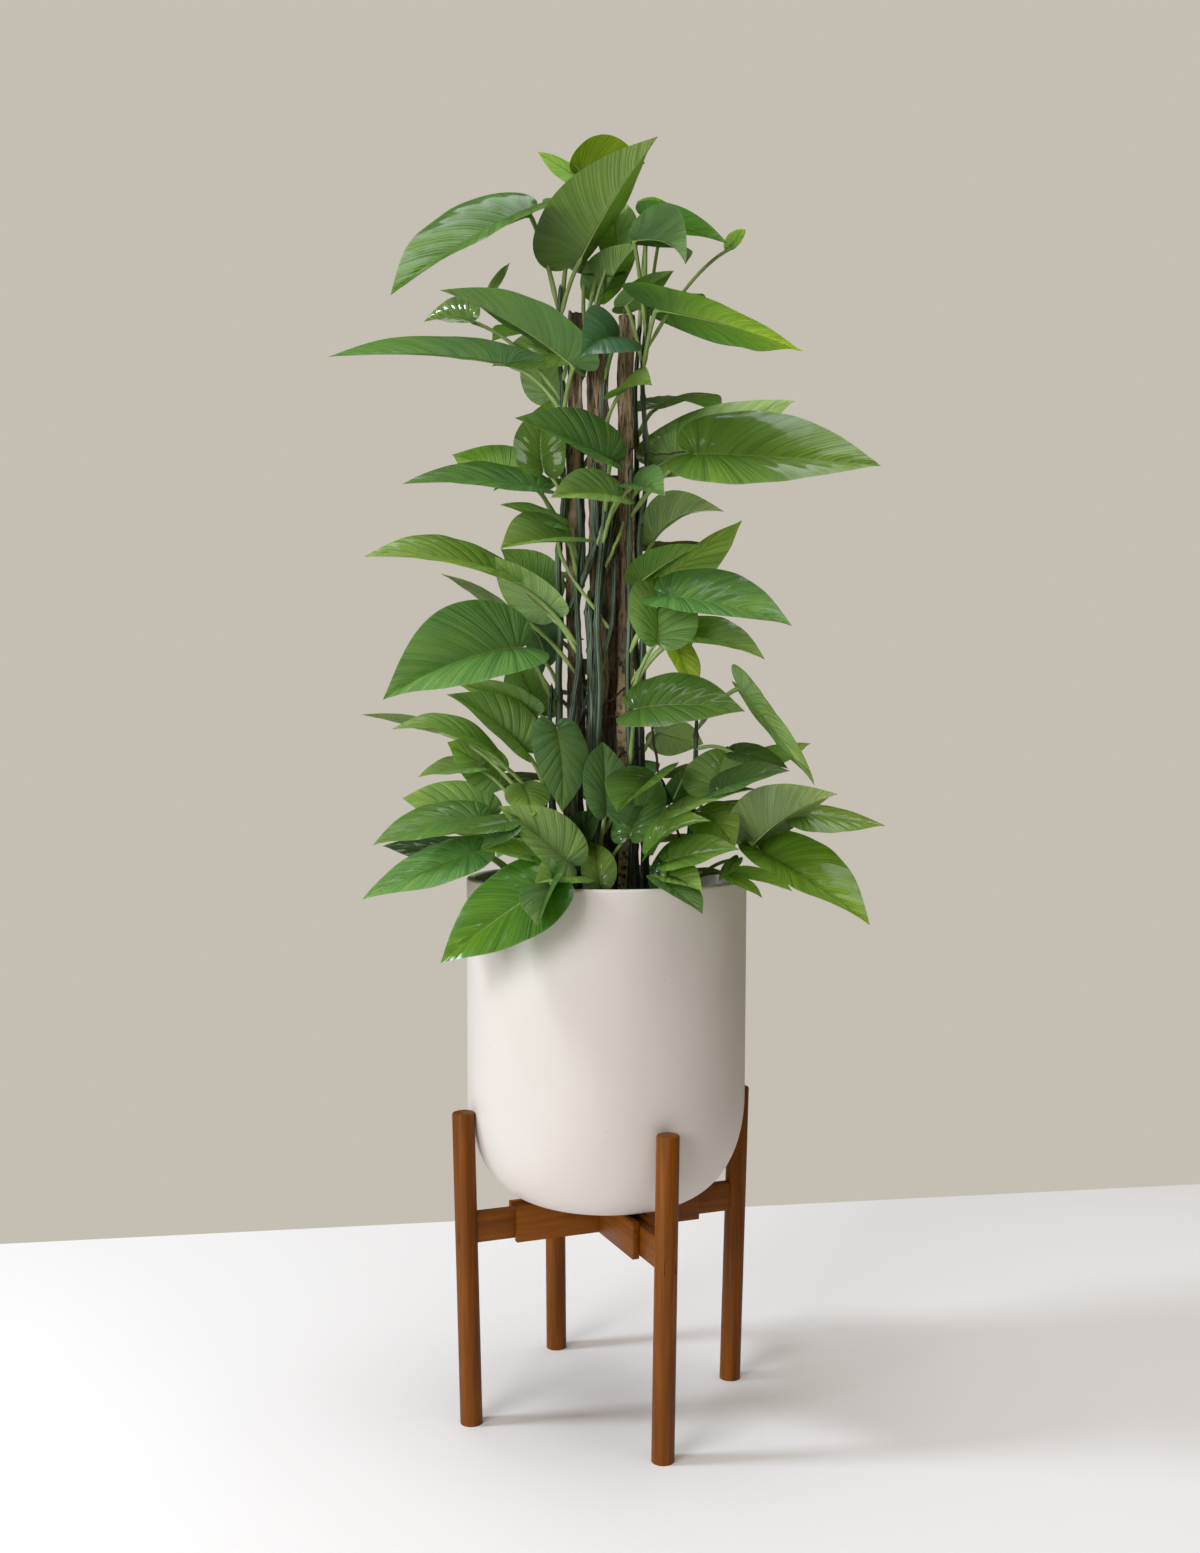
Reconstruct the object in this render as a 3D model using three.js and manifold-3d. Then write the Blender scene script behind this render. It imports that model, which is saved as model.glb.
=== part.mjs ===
// A climbing pothos in a cream ceramic planter on a four-legged wooden stand.
// Millimetres, +Z up, +X to the right, +Y away from the viewer, floor at z = 0.
import * as THREE from 'three';
import { mergeVertices } from 'three/addons/utils/BufferGeometryUtils.js';
import Module from 'manifold-3d';

const wasm = await Module();
wasm.setup();

// Driving dimensions
const CLEARANCE = 0.3;

const POT = {
  radius: 127.5,
  waistRadius: 126.9,
  baseRadius: 58,
  baseZ: 192.3,
  cornerTop: 290,
  rimZ: 484,
  wall: 7,
  cornerPower: 2.2,
  cornerSteps: 5,
  segments: 36,
};

const SOIL = { z: 452, relief: 2.5, edgeFall: 4, gap: 0.4 };

const LEG = { radius: 9.9, height: 279, reach: 133.6, lean: 1.6, round: 1.6, segments: 20 };
const ARM_AZIMUTHS = { front: -67.4, right: 22.6, back: 112.6, left: 202.6 };
const BAR = { bottom: 160, top: 192, halfLength: 90, cheek: 6.4, channel: 10.6 };
const TONGUE = { thick: 10, bottom: 162.5, top: 188.5, innerEnd: 44, tenon: 8 };

const STEM = { radius: 3.4, sides: 4, stepLength: 66, foot: 398, hole: 4.8 };
// Petioles: where they leave the stem (offset from its axis, slope, fall and spacing of the nodes,
// lowest above the soil, highest as a share of the stem), their arch and the drop below the blade
const PETIOLE = {
  radius: 1.7,
  offset: 1.2,
  slope: 0.7,
  fall: 12,
  spacing: 8,
  lowest: 12,
  highest: 0.97,
  arch: 0.22,
  drop: 1.5,
};
const BLADE = { thick: 1, rows: 5, shortRows: 4, shortLength: 105, curl: 18 };
const HOLE_DEPTH = 56;

// The heart-shaped outline of one half of a blade, as fractions of its length and half width
const OUTLINE = {
  lobe: [[0, 0], [-0.2, 0.18], [-0.14, 1], [0.27, 1]],
  flank: [[0.27, 1], [0.62, 1], [0.84, 0.3], [1, 0]],
  lobeShare: 0.4,
};

const COLOURS = {
  ceramic: 0xe6ded2,
  wood: 0x7a4a24,
  soil: 0x241c17,
  bark: 0x5b4636,
  leaf: 0x3f7a2c,
};

// Climbing stems and shoots. A route runs from the soil upwards. Each leaf row holds the joint of
// blade and petiole, the tip, the half width, the rise in degrees of the right and of the left half
// (looking along the leaf from above), and the midrib's bow upwards and to the right.
const STEMS = {
  vine_left: {
    route: [[-52, -4, 470], [-46, -6, 560], [-44, -8, 760], [-43, -8, 900], [-42, -5, 1015]],
    leaves: [
      [-69, -10, 1081, -187, -71, 990, 57, 48, 1, 6, 0],
      [-27, -1, 1040, 42, -95, 1116, 58, 10, 49, 5, 1],
      [-29, 15, 1125, 34, 45, 1146, 27, 64, -26, 5, 1],
      [-26, 26, 1125, -65, 9, 1143, 17, -2, 4, 1, 1],
      [-82, -12, 944, -243, -61, 940, 59, 21, 11, 7, 0],
      [-32, -18, 955, -105, -7, 945, 27, 86, -33, 3, 0],
      [-28, -49, 934, -143, -87, 990, 48, 22, 23, 7, -1],
      [-120, -26, 981, -168, 1, 987, 21, 85, -13, 4, 0],
      [-105, -11, 1012, -89, -1, 1040, 8, -11, 27, 1, 0],
      [-55, 26, 923, -67, -15, 962, 21, 8, 10, 3, 2],
      [-58, -11, 851, -52, -6, 916, 25, -18, 54, 6, -1],
      [-84, 31, 856, -139, -23, 863, 29, -5, 37, 2, 2],
      [-55, 11, 735, -96, -15, 780, 25, -20, 64, 6, 0],
      [-56, -2, 679, -85, 12, 722, 21, -65, 100, 8, 1],
      [-59, -25, 831, -180, -52, 832, 44, 42, -7, 5, 0],
      [-62, 6, 634, -82, -35, 684, 25, 1, 9, 2, 2],
    ],
  },
  vine_right: {
    route: [[38, 5, 470], [34, 3, 600], [32, 1, 800], [32, 0, 930], [31, 0, 1000]],
    leaves: [
      [22, -31, 1050, 66, -82, 1013, 31, 100, 6, 10, -5],
      [33, -4, 1079, 107, -17, 1052, 28, 29, 12, 2, -1],
      [53, 21, 1095, 25, 27, 1104, 10, -26, 36, 1, 0],
      [110, -7, 1052, 121, -28, 1061, 9, 8, 20, 4, -1],
      [41, -17, 994, 164, -102, 935, 62, 20, -3, 4, 0],
      [15, -13, 998, 58, -39, 1021, 19, 16, -1, 3, -1],
      [40, 7, 788, 106, 0, 816, 29, 68, 16, 12, 1],
      [49, 2, 753, 124, 26, 812, 33, -28, 17, 1, 1],
      [44, 5, 617, 90, 32, 605, 20, 54, -60, -1, 1],
    ],
  },
  vine_front: {
    route: [[-6, -34, 470], [-8, -27, 560], [-10, -22, 700], [-4, -21, 850], [2, -20, 965]],
    leaves: [
      [9, -48, 961, -23, -115, 927, 29, 82, -21, 5, 0],
      [10, -36, 914, 38, -85, 910, 20, -12, 69, 5, 0],
      [23, -47, 833, 49, -92, 815, 20, -4, 72, 3, 0],
      [4, -56, 850, -79, -88, 882, 35, 84, -16, 2, 0],
      [10, -56, 820, -48, -97, 813, 26, 73, -15, 4, 0],
      [-44, -66, 620, -38, -82, 546, 27, 19, -1, 3, -2],
      [0, -75, 545, -4, -33, 607, 26, -2, 45, 5, 0],
      [42, -67, 577, 9, -138, 549, 33, 26, 36, 1, 0],
      [21, -62, 525, 46, -20, 576, 25, 10, 3, 4, 2],
      [-27, -59, 512, -3, -30, 546, 19, 20, 37, 6, -1],
      [-5, -82, 483, -13, -54, 519, 16, 34, 5, 5, 0],
    ],
  },
  vine_mid_left: {
    route: [[-32, -24, 470], [-30, -20, 560], [-29, -18, 700], [-28, -17, 845]],
    leaves: [
      [-40, -34, 799, -95, -46, 815, 21, 43, -15, 2, 0],
      [-33, -39, 784, -90, -105, 769, 33, 63, 3, 3, 0],
      [-90, -38, 751, -208, -87, 764, 45, 46, -4, 8, 0],
      [-51, -18, 721, -99, -50, 769, 27, -15, 31, -1, 2],
      [-90, -4, 724, -149, -23, 757, 12, -6, 28, 2, 0],
    ],
  },
  vine_mid_right: {
    route: [[22, -26, 470], [20, -22, 560], [19, -19, 700], [19, -18, 850]],
    leaves: [
      [50, 2, 860, 174, 33, 923, 51, -19, 47, 3, 0],
      [75, -36, 861, 234, -80, 843, 57, -26, 62, 2, 0],
      [27, -43, 747, 82, -66, 777, 24, 37, 13, 3, 0],
      [43, -63, 693, 40, -18, 757, 36, 14, 51, 5, 2],
      [49, -60, 733, 157, -98, 705, 41, -9, 57, 5, 0],
      [62, -31, 700, 138, -58, 679, 30, 0, 55, 5, 0],
      [57, -37, 695, 75, -54, 646, 19, 18, 28, 3, 0],
      [23, -74, 635, 117, -104, 633, 35, -24, 63, 5, -1],
    ],
  },
  shoot_left: {
    route: [[-68, -26, 470], [-60, -26, 540], [-54, -26, 610], [-52, -24, 655]],
    leaves: [
      [-74, -57, 689, -190, -98, 642, 50, 88, -17, 8, 0],
      [-67, -20, 633, -134, -34, 659, 26, -21, 36, 3, 0],
      [-71, -47, 598, -141, -51, 648, 32, 69, -6, 5, 0],
      [-97, -44, 589, -186, -77, 617, 35, 41, 2, 13, -1],
      [-147, -12, 615, -218, -40, 630, 12, -6, 42, 2, 0],
      [-114, -19, 583, -169, -31, 575, 20, 47, -2, 2, 0],
      [-96, -1, 579, -142, -35, 606, 25, 69, -75, -1, 1],
      [-104, -17, 540, -183, -32, 556, 29, 61, -47, 3, 0],
      [-108, -59, 541, -199, -95, 518, 35, 34, -5, 4, 0],
      [-111, -27, 508, -200, -36, 513, 31, 29, -15, 0, 0],
      [-112, -71, 512, -208, -96, 472, 36, 31, -12, 2, 0],
    ],
  },
  shoot_front: {
    route: [[-38, -72, 462], [-42, -74, 485], [-46, -74, 505]],
    leaves: [
      [-45, -128, 490, -136, -142, 425, 40, 58, -30, 2, 0],
      [-44, -127, 489, -54, -185, 461, 24, 6, 64, 3, 0],
      [-26, -97, 492, -58, -148, 492, 22, 61, 1, 1, 0],
      [-31, -92, 502, -92, -97, 552, 30, 81, -17, 2, 0],
      [-76, -109, 536, -106, -116, 515, 13, 42, -16, 1, 0],
      [-80, -105, 539, -132, -116, 529, 19, 33, -8, 1, 0],
      [-52, -92, 506, -104, -118, 516, 21, 42, -5, 2, 0],
      [-73, -48, 569, -62, -97, 544, 20, -9, 10, 0, -1],
    ],
  },
  shoot_right: {
    route: [[70, -22, 466], [74, -26, 520], [78, -24, 580], [82, -18, 625]],
    leaves: [
      [37, -101, 513, 88, -119, 541, 22, 0, 67, 8, 0],
      [55, -82, 544, 128, -89, 567, 27, 2, 28, 4, 0],
      [91, -81, 565, 109, -14, 603, 30, 21, 13, 5, 2],
      [95, -86, 566, 155, -104, 583, 23, -6, 51, 2, 0],
      [111, -51, 598, 158, -64, 584, 18, -14, 42, 2, 0],
      [130, -21, 593, 184, -15, 606, 20, -25, 24, 0, 0],
      [118, -19, 657, 181, -65, 569, 42, 48, -25, 2, 0],
      [161, -52, 546, 245, -53, 534, 30, -18, 25, 1, 0],
      [126, -70, 518, 192, -125, 564, 37, 60, 7, 7, 0],
      [135, -62, 511, 220, -124, 455, 42, 12, 44, 2, 0],
      [51, -107, 506, 111, -127, 518, 23, -12, 59, 2, 0],
      [47, -102, 493, 79, -145, 485, 20, 10, 50, 2, 0],
      [46, -124, 491, 78, -168, 469, 21, 25, 18, 1, 0],
      [106, -67, 491, 135, -81, 473, 13, 3, 21, 1, 0],
      [111, -51, 491, 160, -84, 479, 21, 14, 27, 2, 0],
      [114, -70, 506, 97, -76, 487, 9, 26, -8, 1, -1],
      [58, -48, 554, 78, -23, 585, 16, 10, 12, 3, 1],
      [84, -62, 546, 109, -101, 516, 21, -40, 50, 4, -1],
      [50, -81, 483, 63, -54, 524, 18, 29, 1, 4, 1],
    ],
  },
  vine_back_left: {
    route: [[-26, 30, 470], [-26, 26, 620], [-25, 24, 800], [-24, 22, 985]],
    leaves: [
      [-22, 30, 1084, -48, 105, 1130, 34, 14, 8, 8, 0],
      [-7, 35, 1018, 28, -6, 1056, 27, 35, 29, 5, 0],
      [8, 22, 1062, -10, 20, 1111, 20, -57, 84, 6, 0],
      [-10, 28, 1040, -19, 110, 1060, 30, 6, 12, 10, 0],
      [-45, 38, 976, -115, 118, 1000, 38, 12, 6, 12, 0],
      [-6, 35, 984, -9, 125, 1000, 32, 8, 14, 10, 0],
      [-40, 28, 874, -80, 115, 895, 34, 16, 4, 8, 0],
      [-9, 35, 883, -20, 130, 900, 32, 10, 8, 12, 0],
      [-44, 30, 847, -112, 100, 850, 28, 6, -6, 8, 0],
      [-44, 40, 760, -92, 122, 747, 34, 12, 12, 10, 0],
      [-46, 40, 704, -136, 120, 690, 40, 10, 6, 12, 0],
      [-7, 35, 681, -5, 125, 660, 30, 12, 8, 8, 0],
      [-49, 28, 651, -110, 100, 632, 32, 8, 10, 10, 0],
    ],
  },
  vine_back_right: {
    route: [[28, 30, 470], [28, 28, 620], [27, 26, 800], [26, 24, 985]],
    leaves: [
      [34, 34, 1072, 62, 104, 1094, 30, 10, 14, 8, 0],
      [29, 28, 1007, 95, 120, 1025, 38, 6, 14, 12, 0],
      [44, 48, 920, 112, 128, 930, 38, 8, 16, 12, 0],
      [39, 34, 859, 149, 110, 868, 40, 4, 10, 12, 0],
      [0, 38, 776, -6, 125, 762, 30, 12, 10, 10, 0],
      [38, 40, 786, 95, 118, 790, 32, 6, 12, 8, 0],
      [40, 32, 737, 123, 120, 730, 38, 8, 10, 12, 0],
      [35, 44, 711, 82, 130, 695, 30, 14, 8, 8, 0],
      [40, 30, 645, 108, 115, 640, 34, 8, 12, 10, 0],
    ],
  },
  shoot_back_left: {
    route: [[-30, 62, 470], [-34, 60, 520], [-38, 56, 560]],
    leaves: [
      [-44, 44, 570, -127, 130, 547, 40, 8, 10, 12, 0],
      [-45, 68, 515, -112, 150, 488, 36, 12, 8, 10, 0],
      [-7, 60, 570, -8, 150, 532, 32, 10, 10, 10, 0],
      [-14, 45, 613, -8, 130, 590, 30, 8, 12, 10, 0],
      [-72, 38, 523, -142, 115, 510, 34, 10, 6, 10, 0],
      [-17, 90, 497, -48, 162, 482, 28, 8, 10, 6, 0],
    ],
  },
  shoot_back_right: {
    route: [[34, 60, 470], [38, 58, 520], [42, 54, 560]],
    leaves: [
      [31, 50, 556, 94, 132, 545, 34, 10, 8, 10, 0],
      [46, 70, 512, 98, 150, 492, 32, 8, 12, 10, 0],
      [72, 40, 575, 155, 112, 570, 34, 6, 12, 10, 0],
      [14, 75, 585, 35, 152, 556, 30, 12, 8, 10, 0],
      [105, 24, 536, 180, 105, 535, 34, 8, 12, 10, 0],
    ],
  },
};

// Rough wooden slats that the plant climbs: centre x and y, width, thickness, top
const SLATS = {
  slat_left: [-31, 0, 13, 10, 997],
  slat_centre: [-8, -2, 20, 11, 990],
  slat_right: [17, 0, 15, 10, 995],
  slat_back: [2, 15.5, 26, 8, 850],
};

const degrees = Math.PI / 180;

// A closed geometry as a solid, faces outwards
function solidOf(geometry) {
  const plain = new THREE.BufferGeometry();
  plain.setAttribute('position', geometry.getAttribute('position'));
  if (geometry.index) plain.setIndex(geometry.index);
  const merged = mergeVertices(plain, 1e-4);
  const corners = [];
  for (let i = 0; i < merged.index.count; i += 3) {
    const [a, b, c] = [0, 1, 2].map((k) => merged.index.getX(i + k));
    if (a !== b && b !== c && c !== a) corners.push(a, b, c);
  }
  const build = (order) => new wasm.Manifold(new wasm.Mesh({
    numProp: 3,
    vertProperties: new Float32Array(merged.attributes.position.array),
    triVerts: new Uint32Array(order),
  }));
  const solid = build(corners);
  return solid.volume() > 0 ? solid : build(corners.reverse());
}

function geometryOf(solid) {
  const mesh = solid.getMesh();
  const geometry = new THREE.BufferGeometry();
  geometry.setAttribute('position', new THREE.BufferAttribute(mesh.vertProperties, 3));
  geometry.setIndex(new THREE.BufferAttribute(mesh.triVerts, 1));
  return geometry;
}

function material(colour, roughness) {
  return new THREE.MeshStandardMaterial({ color: colour, roughness, metalness: 0 });
}

function piece(name, solid, finish) {
  const geometry = geometryOf(solid).toNonIndexed();
  geometry.computeVertexNormals();
  const mesh = new THREE.Mesh(geometry, finish);
  mesh.name = name;
  return mesh;
}

function turned(profile, segments) {
  const points = profile.map(([r, z]) => new THREE.Vector2(r, z));
  return new THREE.LatheGeometry(points, segments).rotateX(Math.PI / 2);
}

function box(x0, x1, y0, y1, z0, z1) {
  const geometry = new THREE.BoxGeometry(x1 - x0, y1 - y0, z1 - z0);
  return geometry.translate((x0 + x1) / 2, (y0 + y1) / 2, (z0 + z1) / 2);
}

// The planter: the outer curve of its round corner, and the same curve one wall further in
function potRadiusAt(z, inset) {
  const top = POT.cornerTop;
  const reach = POT.waistRadius - POT.baseRadius;
  if (z >= top) {
    const share = (z - top) / (POT.rimZ - top);
    return POT.waistRadius + share * (POT.radius - POT.waistRadius) - inset;
  }
  const depth = (top - z) / (top - POT.baseZ - inset);
  const bulge = (1 - depth ** POT.cornerPower) ** (1 / POT.cornerPower);
  return POT.baseRadius + reach * bulge - inset;
}

function potSide(inset) {
  const side = [];
  for (let i = 0; i <= POT.cornerSteps; i += 1) {
    const angle = (i / POT.cornerSteps) * 90 * degrees;
    const z = POT.cornerTop - (POT.cornerTop - POT.baseZ - inset) * Math.cos(angle);
    side.push([potRadiusAt(z, inset), z]);
  }
  return side;
}

function pot() {
  const lip = POT.wall / 2;
  const top = POT.rimZ;
  const rim = [
    [POT.radius, top - lip * 0.7],
    [POT.radius - lip * 0.35, top - lip * 0.15],
    [POT.radius - lip, top],
    [POT.radius - lip * 1.65, top - lip * 0.15],
    [POT.radius - POT.wall, top - lip * 0.7],
  ];
  const outer = potSide(0);
  const inner = potSide(POT.wall).reverse();
  const profile = [[0, POT.baseZ], ...outer, ...rim, ...inner, [0, POT.baseZ + POT.wall]];
  return solidOf(turned(profile, POT.segments));
}

// Shallow lumps in the top of the soil
function soilRise(x, y) {
  const lumps = Math.sin(x * 0.13 + 1.3) * Math.cos(y * 0.11) + Math.sin((x + y) * 0.31 + 0.4) * 0.5;
  const edge = (Math.hypot(x, y) / POT.radius) ** 4;
  return SOIL.relief * lumps - SOIL.edgeFall * edge;
}

function soil(holes) {
  const inset = POT.wall + SOIL.gap;
  const side = potSide(inset);
  const edge = [potRadiusAt(SOIL.z, inset), SOIL.z];
  const top = [0.84, 0.62, 0.4, 0.2].map((share) => [edge[0] * share, SOIL.z]);
  const profile = [[0, POT.baseZ + inset], ...side, edge, ...top, [0, SOIL.z]];
  const geometry = turned(profile, POT.segments);
  const position = geometry.getAttribute('position');
  for (let i = 0; i < position.count; i += 1) {
    const [x, y, z] = [position.getX(i), position.getY(i), position.getZ(i)];
    if (z > SOIL.z - 0.1) position.setZ(i, z + soilRise(x, y));
  }
  return holes.reduce((body, hole) => body.subtract(hole), solidOf(geometry));
}

// The stand. Each arm is modelled along +X and turned to its azimuth.
function turnedTo(mesh, azimuth) {
  mesh.rotation.z = azimuth * degrees;
  return mesh;
}

function leg() {
  const { radius, height, round, segments } = LEG;
  const below = 12;
  const profile = [
    [0, -below],
    [radius, -below],
    [radius, height - round],
    [radius - round * 0.3, height - round * 0.3],
    [radius - round, height],
    [0, height],
  ];
  const pivot = (BAR.bottom + BAR.top) / 2;
  const geometry = turned(profile, segments);
  geometry.translate(0, 0, -pivot);
  geometry.rotateY(LEG.lean * degrees);
  geometry.translate(LEG.reach, 0, pivot);
  const half = TONGUE.thick / 2 + CLEARANCE;
  const mortise = box(
    0,
    LEG.reach + TONGUE.tenon + CLEARANCE,
    -half,
    half,
    TONGUE.bottom - CLEARANCE,
    TONGUE.top + CLEARANCE,
  );
  const ground = box(0, 2 * LEG.reach, -LEG.reach, LEG.reach, -4 * below, 0);
  return solidOf(geometry).subtract(solidOf(mortise)).subtract(solidOf(ground));
}

function tongue() {
  const half = TONGUE.thick / 2;
  const end = LEG.reach + TONGUE.tenon;
  return solidOf(box(TONGUE.innerEnd, end, -half, half, TONGUE.bottom, TONGUE.top));
}

// A cheek board stands beside the channel and is notched half its height for the crossing boards
function cheek(side, notchedFromTop) {
  const near = BAR.channel / 2;
  const far = near + BAR.cheek;
  const [y0, y1] = side > 0 ? [near, far] : [-far, -near];
  let board = solidOf(box(-BAR.halfLength, BAR.halfLength, y0, y1, BAR.bottom, BAR.top));
  const middle = (BAR.bottom + BAR.top) / 2;
  const [z0, z1] = notchedFromTop
    ? [middle - CLEARANCE / 2, BAR.top + 1]
    : [BAR.bottom - 1, middle + CLEARANCE / 2];
  for (const end of [-1, 1]) {
    const [x0, x1] = end > 0 ? [near, far] : [-far, -near];
    const notch = box(x0 - CLEARANCE, x1 + CLEARANCE, y0 - 1, y1 + 1, z0, z1);
    board = board.subtract(solidOf(notch));
  }
  return board;
}

// A rough slat: a board whose faces and edges wander, plain where it stands in the soil
function slat([cx, cy, width, thick, top]) {
  const bottom = SOIL.z - HOLE_DEPTH + 1;
  const height = top - bottom;
  const geometry = new THREE.BoxGeometry(width, thick, height, 2, 1, 12);
  const position = geometry.getAttribute('position');
  for (let i = 0; i < position.count; i += 1) {
    const [x, y, z] = [position.getX(i), position.getY(i), position.getZ(i) + bottom + height / 2];
    const rough = Math.min(1, Math.max(0, (z - SOIL.z - 8) / 20));
    const wander = Math.sin(z * 0.021 + cx) * 1.2 + Math.sin(z * 0.083 + cx * 2) * 0.5;
    const groove = Math.sin(x * 1.1 + z * 0.035 + cx) * 0.8 + Math.sin(z * 0.19 + x + cx) * 0.5;
    const crown = Math.abs(x) > width / 2 - 0.1 ? -1.1 : 0;
    const lift = Math.sign(y) * (groove + crown) * rough;
    const jag = z > top - 1 ? Math.sin(x * 0.9 + cx) * 4 - 4 : 0;
    position.setXYZ(i, cx + x + wander * rough, cy + y + lift, z + jag);
  }
  return solidOf(geometry);
}

function slatHole([cx, cy, width, thick]) {
  const gap = 0.5;
  const [halfX, halfY] = [width / 2 + gap, thick / 2 + gap];
  return solidOf(box(
    cx - halfX,
    cx + halfX,
    cy - halfY,
    cy + halfY,
    SOIL.z - HOLE_DEPTH,
    SOIL.z + 40,
  ));
}

// Stems and petioles are thin prisms along a curve
function rod(curve, radius, sides, steps) {
  const corners = [];
  for (let i = 0; i < sides; i += 1) {
    const angle = (i / sides) * 2 * Math.PI;
    corners.push(new THREE.Vector2(radius * Math.cos(angle), radius * Math.sin(angle)));
  }
  const shape = new THREE.Shape(corners);
  return solidOf(new THREE.ExtrudeGeometry(shape, { steps, extrudePath: curve, bevelEnabled: false }));
}

function bezier(points, t) {
  const s = 1 - t;
  const weights = [s * s * s, 3 * s * s * t, 3 * s * t * t, t * t * t];
  return [0, 1].map((axis) => weights.reduce((sum, w, i) => sum + w * points[i][axis], 0));
}

// One side of the outline at share t from the petiole joint to the tip
function outlineAt(t) {
  const { lobe, flank, lobeShare } = OUTLINE;
  return t < lobeShare ? bezier(lobe, t / lobeShare) : bezier(flank, (t - lobeShare) / (1 - lobeShare));
}

// The frame of a leaf: along it, to its right, and out of its upper face
function leafFrame(row) {
  const [bx, by, bz, tx, ty, tz, halfWidth, right, left, bow, bend] = row;
  const base = new THREE.Vector3(bx, by, bz);
  const along = new THREE.Vector3(tx, ty, tz).sub(base);
  const length = along.length();
  along.normalize();
  const side = new THREE.Vector3().crossVectors(along, new THREE.Vector3(0, 0, 1)).normalize();
  const up = new THREE.Vector3().crossVectors(side, along);
  return { base, along, side, up, length, halfWidth, right, left, bow, bend };
}

// A point of the blade: share x along the midrib, share w of the half width out on one side
function bladePoint(leaf, x, w, hand, lift) {
  const swell = 4 * x * (1 - x);
  const rise = ((hand > 0 ? leaf.right : leaf.left) - BLADE.curl * w * 0.5) * degrees;
  const out = w * leaf.halfWidth;
  const point = leaf.base.clone().addScaledVector(leaf.along, x * leaf.length);
  point.addScaledVector(leaf.up, leaf.bow * swell + out * Math.sin(rise));
  point.addScaledVector(leaf.side, leaf.bend * swell + hand * out * Math.cos(rise));
  const tilt = w > 0 ? rise : 0;
  point.addScaledVector(leaf.up, lift * Math.cos(tilt));
  return point.addScaledVector(leaf.side, -hand * lift * Math.sin(tilt));
}

function rowsOf(leaf) {
  return leaf.length < BLADE.shortLength ? BLADE.shortRows : BLADE.rows;
}

// Share of the length at which a row leaves the midrib
function midribAt(i, rows) {
  return ((i - 0.7) / (rows - 0.7)) ** 1.1;
}

// A blade is split alike on both faces: rows run from the midrib out to the edge, as its veins do
function blade(leaf) {
  const positions = [];
  const index = [];
  const rows = rowsOf(leaf);
  const lift = BLADE.thick / 2;
  const add = (x, w, hand) => {
    for (const face of [lift, -lift]) positions.push(...bladePoint(leaf, x, w, hand, face).toArray());
    return positions.length / 3 - 2;
  };
  const joint = add(0, 0, 1);
  const tip = add(1, 0, 1);
  const middle = [joint];
  for (let i = 1; i < rows; i += 1) middle.push(add(midribAt(i, rows), 0, 1));
  middle.push(tip);
  for (const hand of [1, -1]) {
    const edge = [joint];
    for (let i = 1; i < rows; i += 1) {
      const [x, w] = outlineAt(i / rows);
      edge.push(add(x, w, hand));
    }
    edge.push(tip);
    for (let i = 0; i < rows; i += 1) {
      const [m0, m1, e0, e1] = [middle[i], middle[i + 1], edge[i], edge[i + 1]];
      const faces = [];
      if (m0 !== e0) faces.push([m0, e0, e1]);
      if (m1 !== e1) faces.push([m0, e1, m1]);
      for (const [a, b, c] of faces) {
        if (hand > 0) index.push(a, b, c, a + 1, c + 1, b + 1);
        else index.push(a, c, b, a + 1, b + 1, c + 1);
      }
      if (hand > 0) index.push(e0, e0 + 1, e1, e1, e0 + 1, e1 + 1);
      else index.push(e0, e1, e0 + 1, e1, e1 + 1, e0 + 1);
    }
  }
  const geometry = new THREE.BufferGeometry();
  geometry.setAttribute('position', new THREE.Float32BufferAttribute(positions, 3));
  geometry.setIndex(index);
  return solidOf(geometry);
}

// Heights at which the petioles leave the stem, kept a node apart from top to foot
function nodeHeights(leaves, stemAt, highest) {
  const lowest = SOIL.z + PETIOLE.lowest;
  const heights = leaves.map((leaf) => {
    const level = stemAt(leaf.base.z);
    const reach = Math.hypot(leaf.base.x - level.x, leaf.base.y - level.y);
    const wanted = leaf.base.z - PETIOLE.slope * reach - PETIOLE.fall;
    return Math.min(highest, Math.max(lowest, wanted));
  });
  const spacing = Math.min(PETIOLE.spacing, (highest - lowest) / leaves.length);
  const downwards = heights.map((height, i) => i).sort((a, b) => heights[b] - heights[a]);
  let ceiling = highest;
  for (const i of downwards) {
    heights[i] = Math.min(heights[i], ceiling);
    ceiling = heights[i] - spacing;
  }
  let floor = lowest;
  for (const i of downwards.reverse()) {
    heights[i] = Math.max(heights[i], floor);
    floor = heights[i] + spacing;
  }
  return heights;
}

// The petiole climbs outwards to just under the joint and ends as a spike inside the midrib
function petiole(leaf, node) {
  const inside = midribAt(1, rowsOf(leaf));
  const under = bladePoint(leaf, 0.3 * inside, 0, 1, -PETIOLE.drop);
  const spike = bladePoint(leaf, inside, 0, 1, 0);
  const outwards = new THREE.Vector3(under.x - node.x, under.y - node.y, 0).normalize();
  const from = node.clone().addScaledVector(outwards, PETIOLE.offset);
  const knee = from.clone().lerp(under, 0.5);
  knee.z += PETIOLE.arch * from.distanceTo(under);
  const curve = new THREE.QuadraticBezierCurve3(from, knee, under);
  return stalk([from, curve.getPoint(0.5), under, spike], PETIOLE.radius);
}

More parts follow.
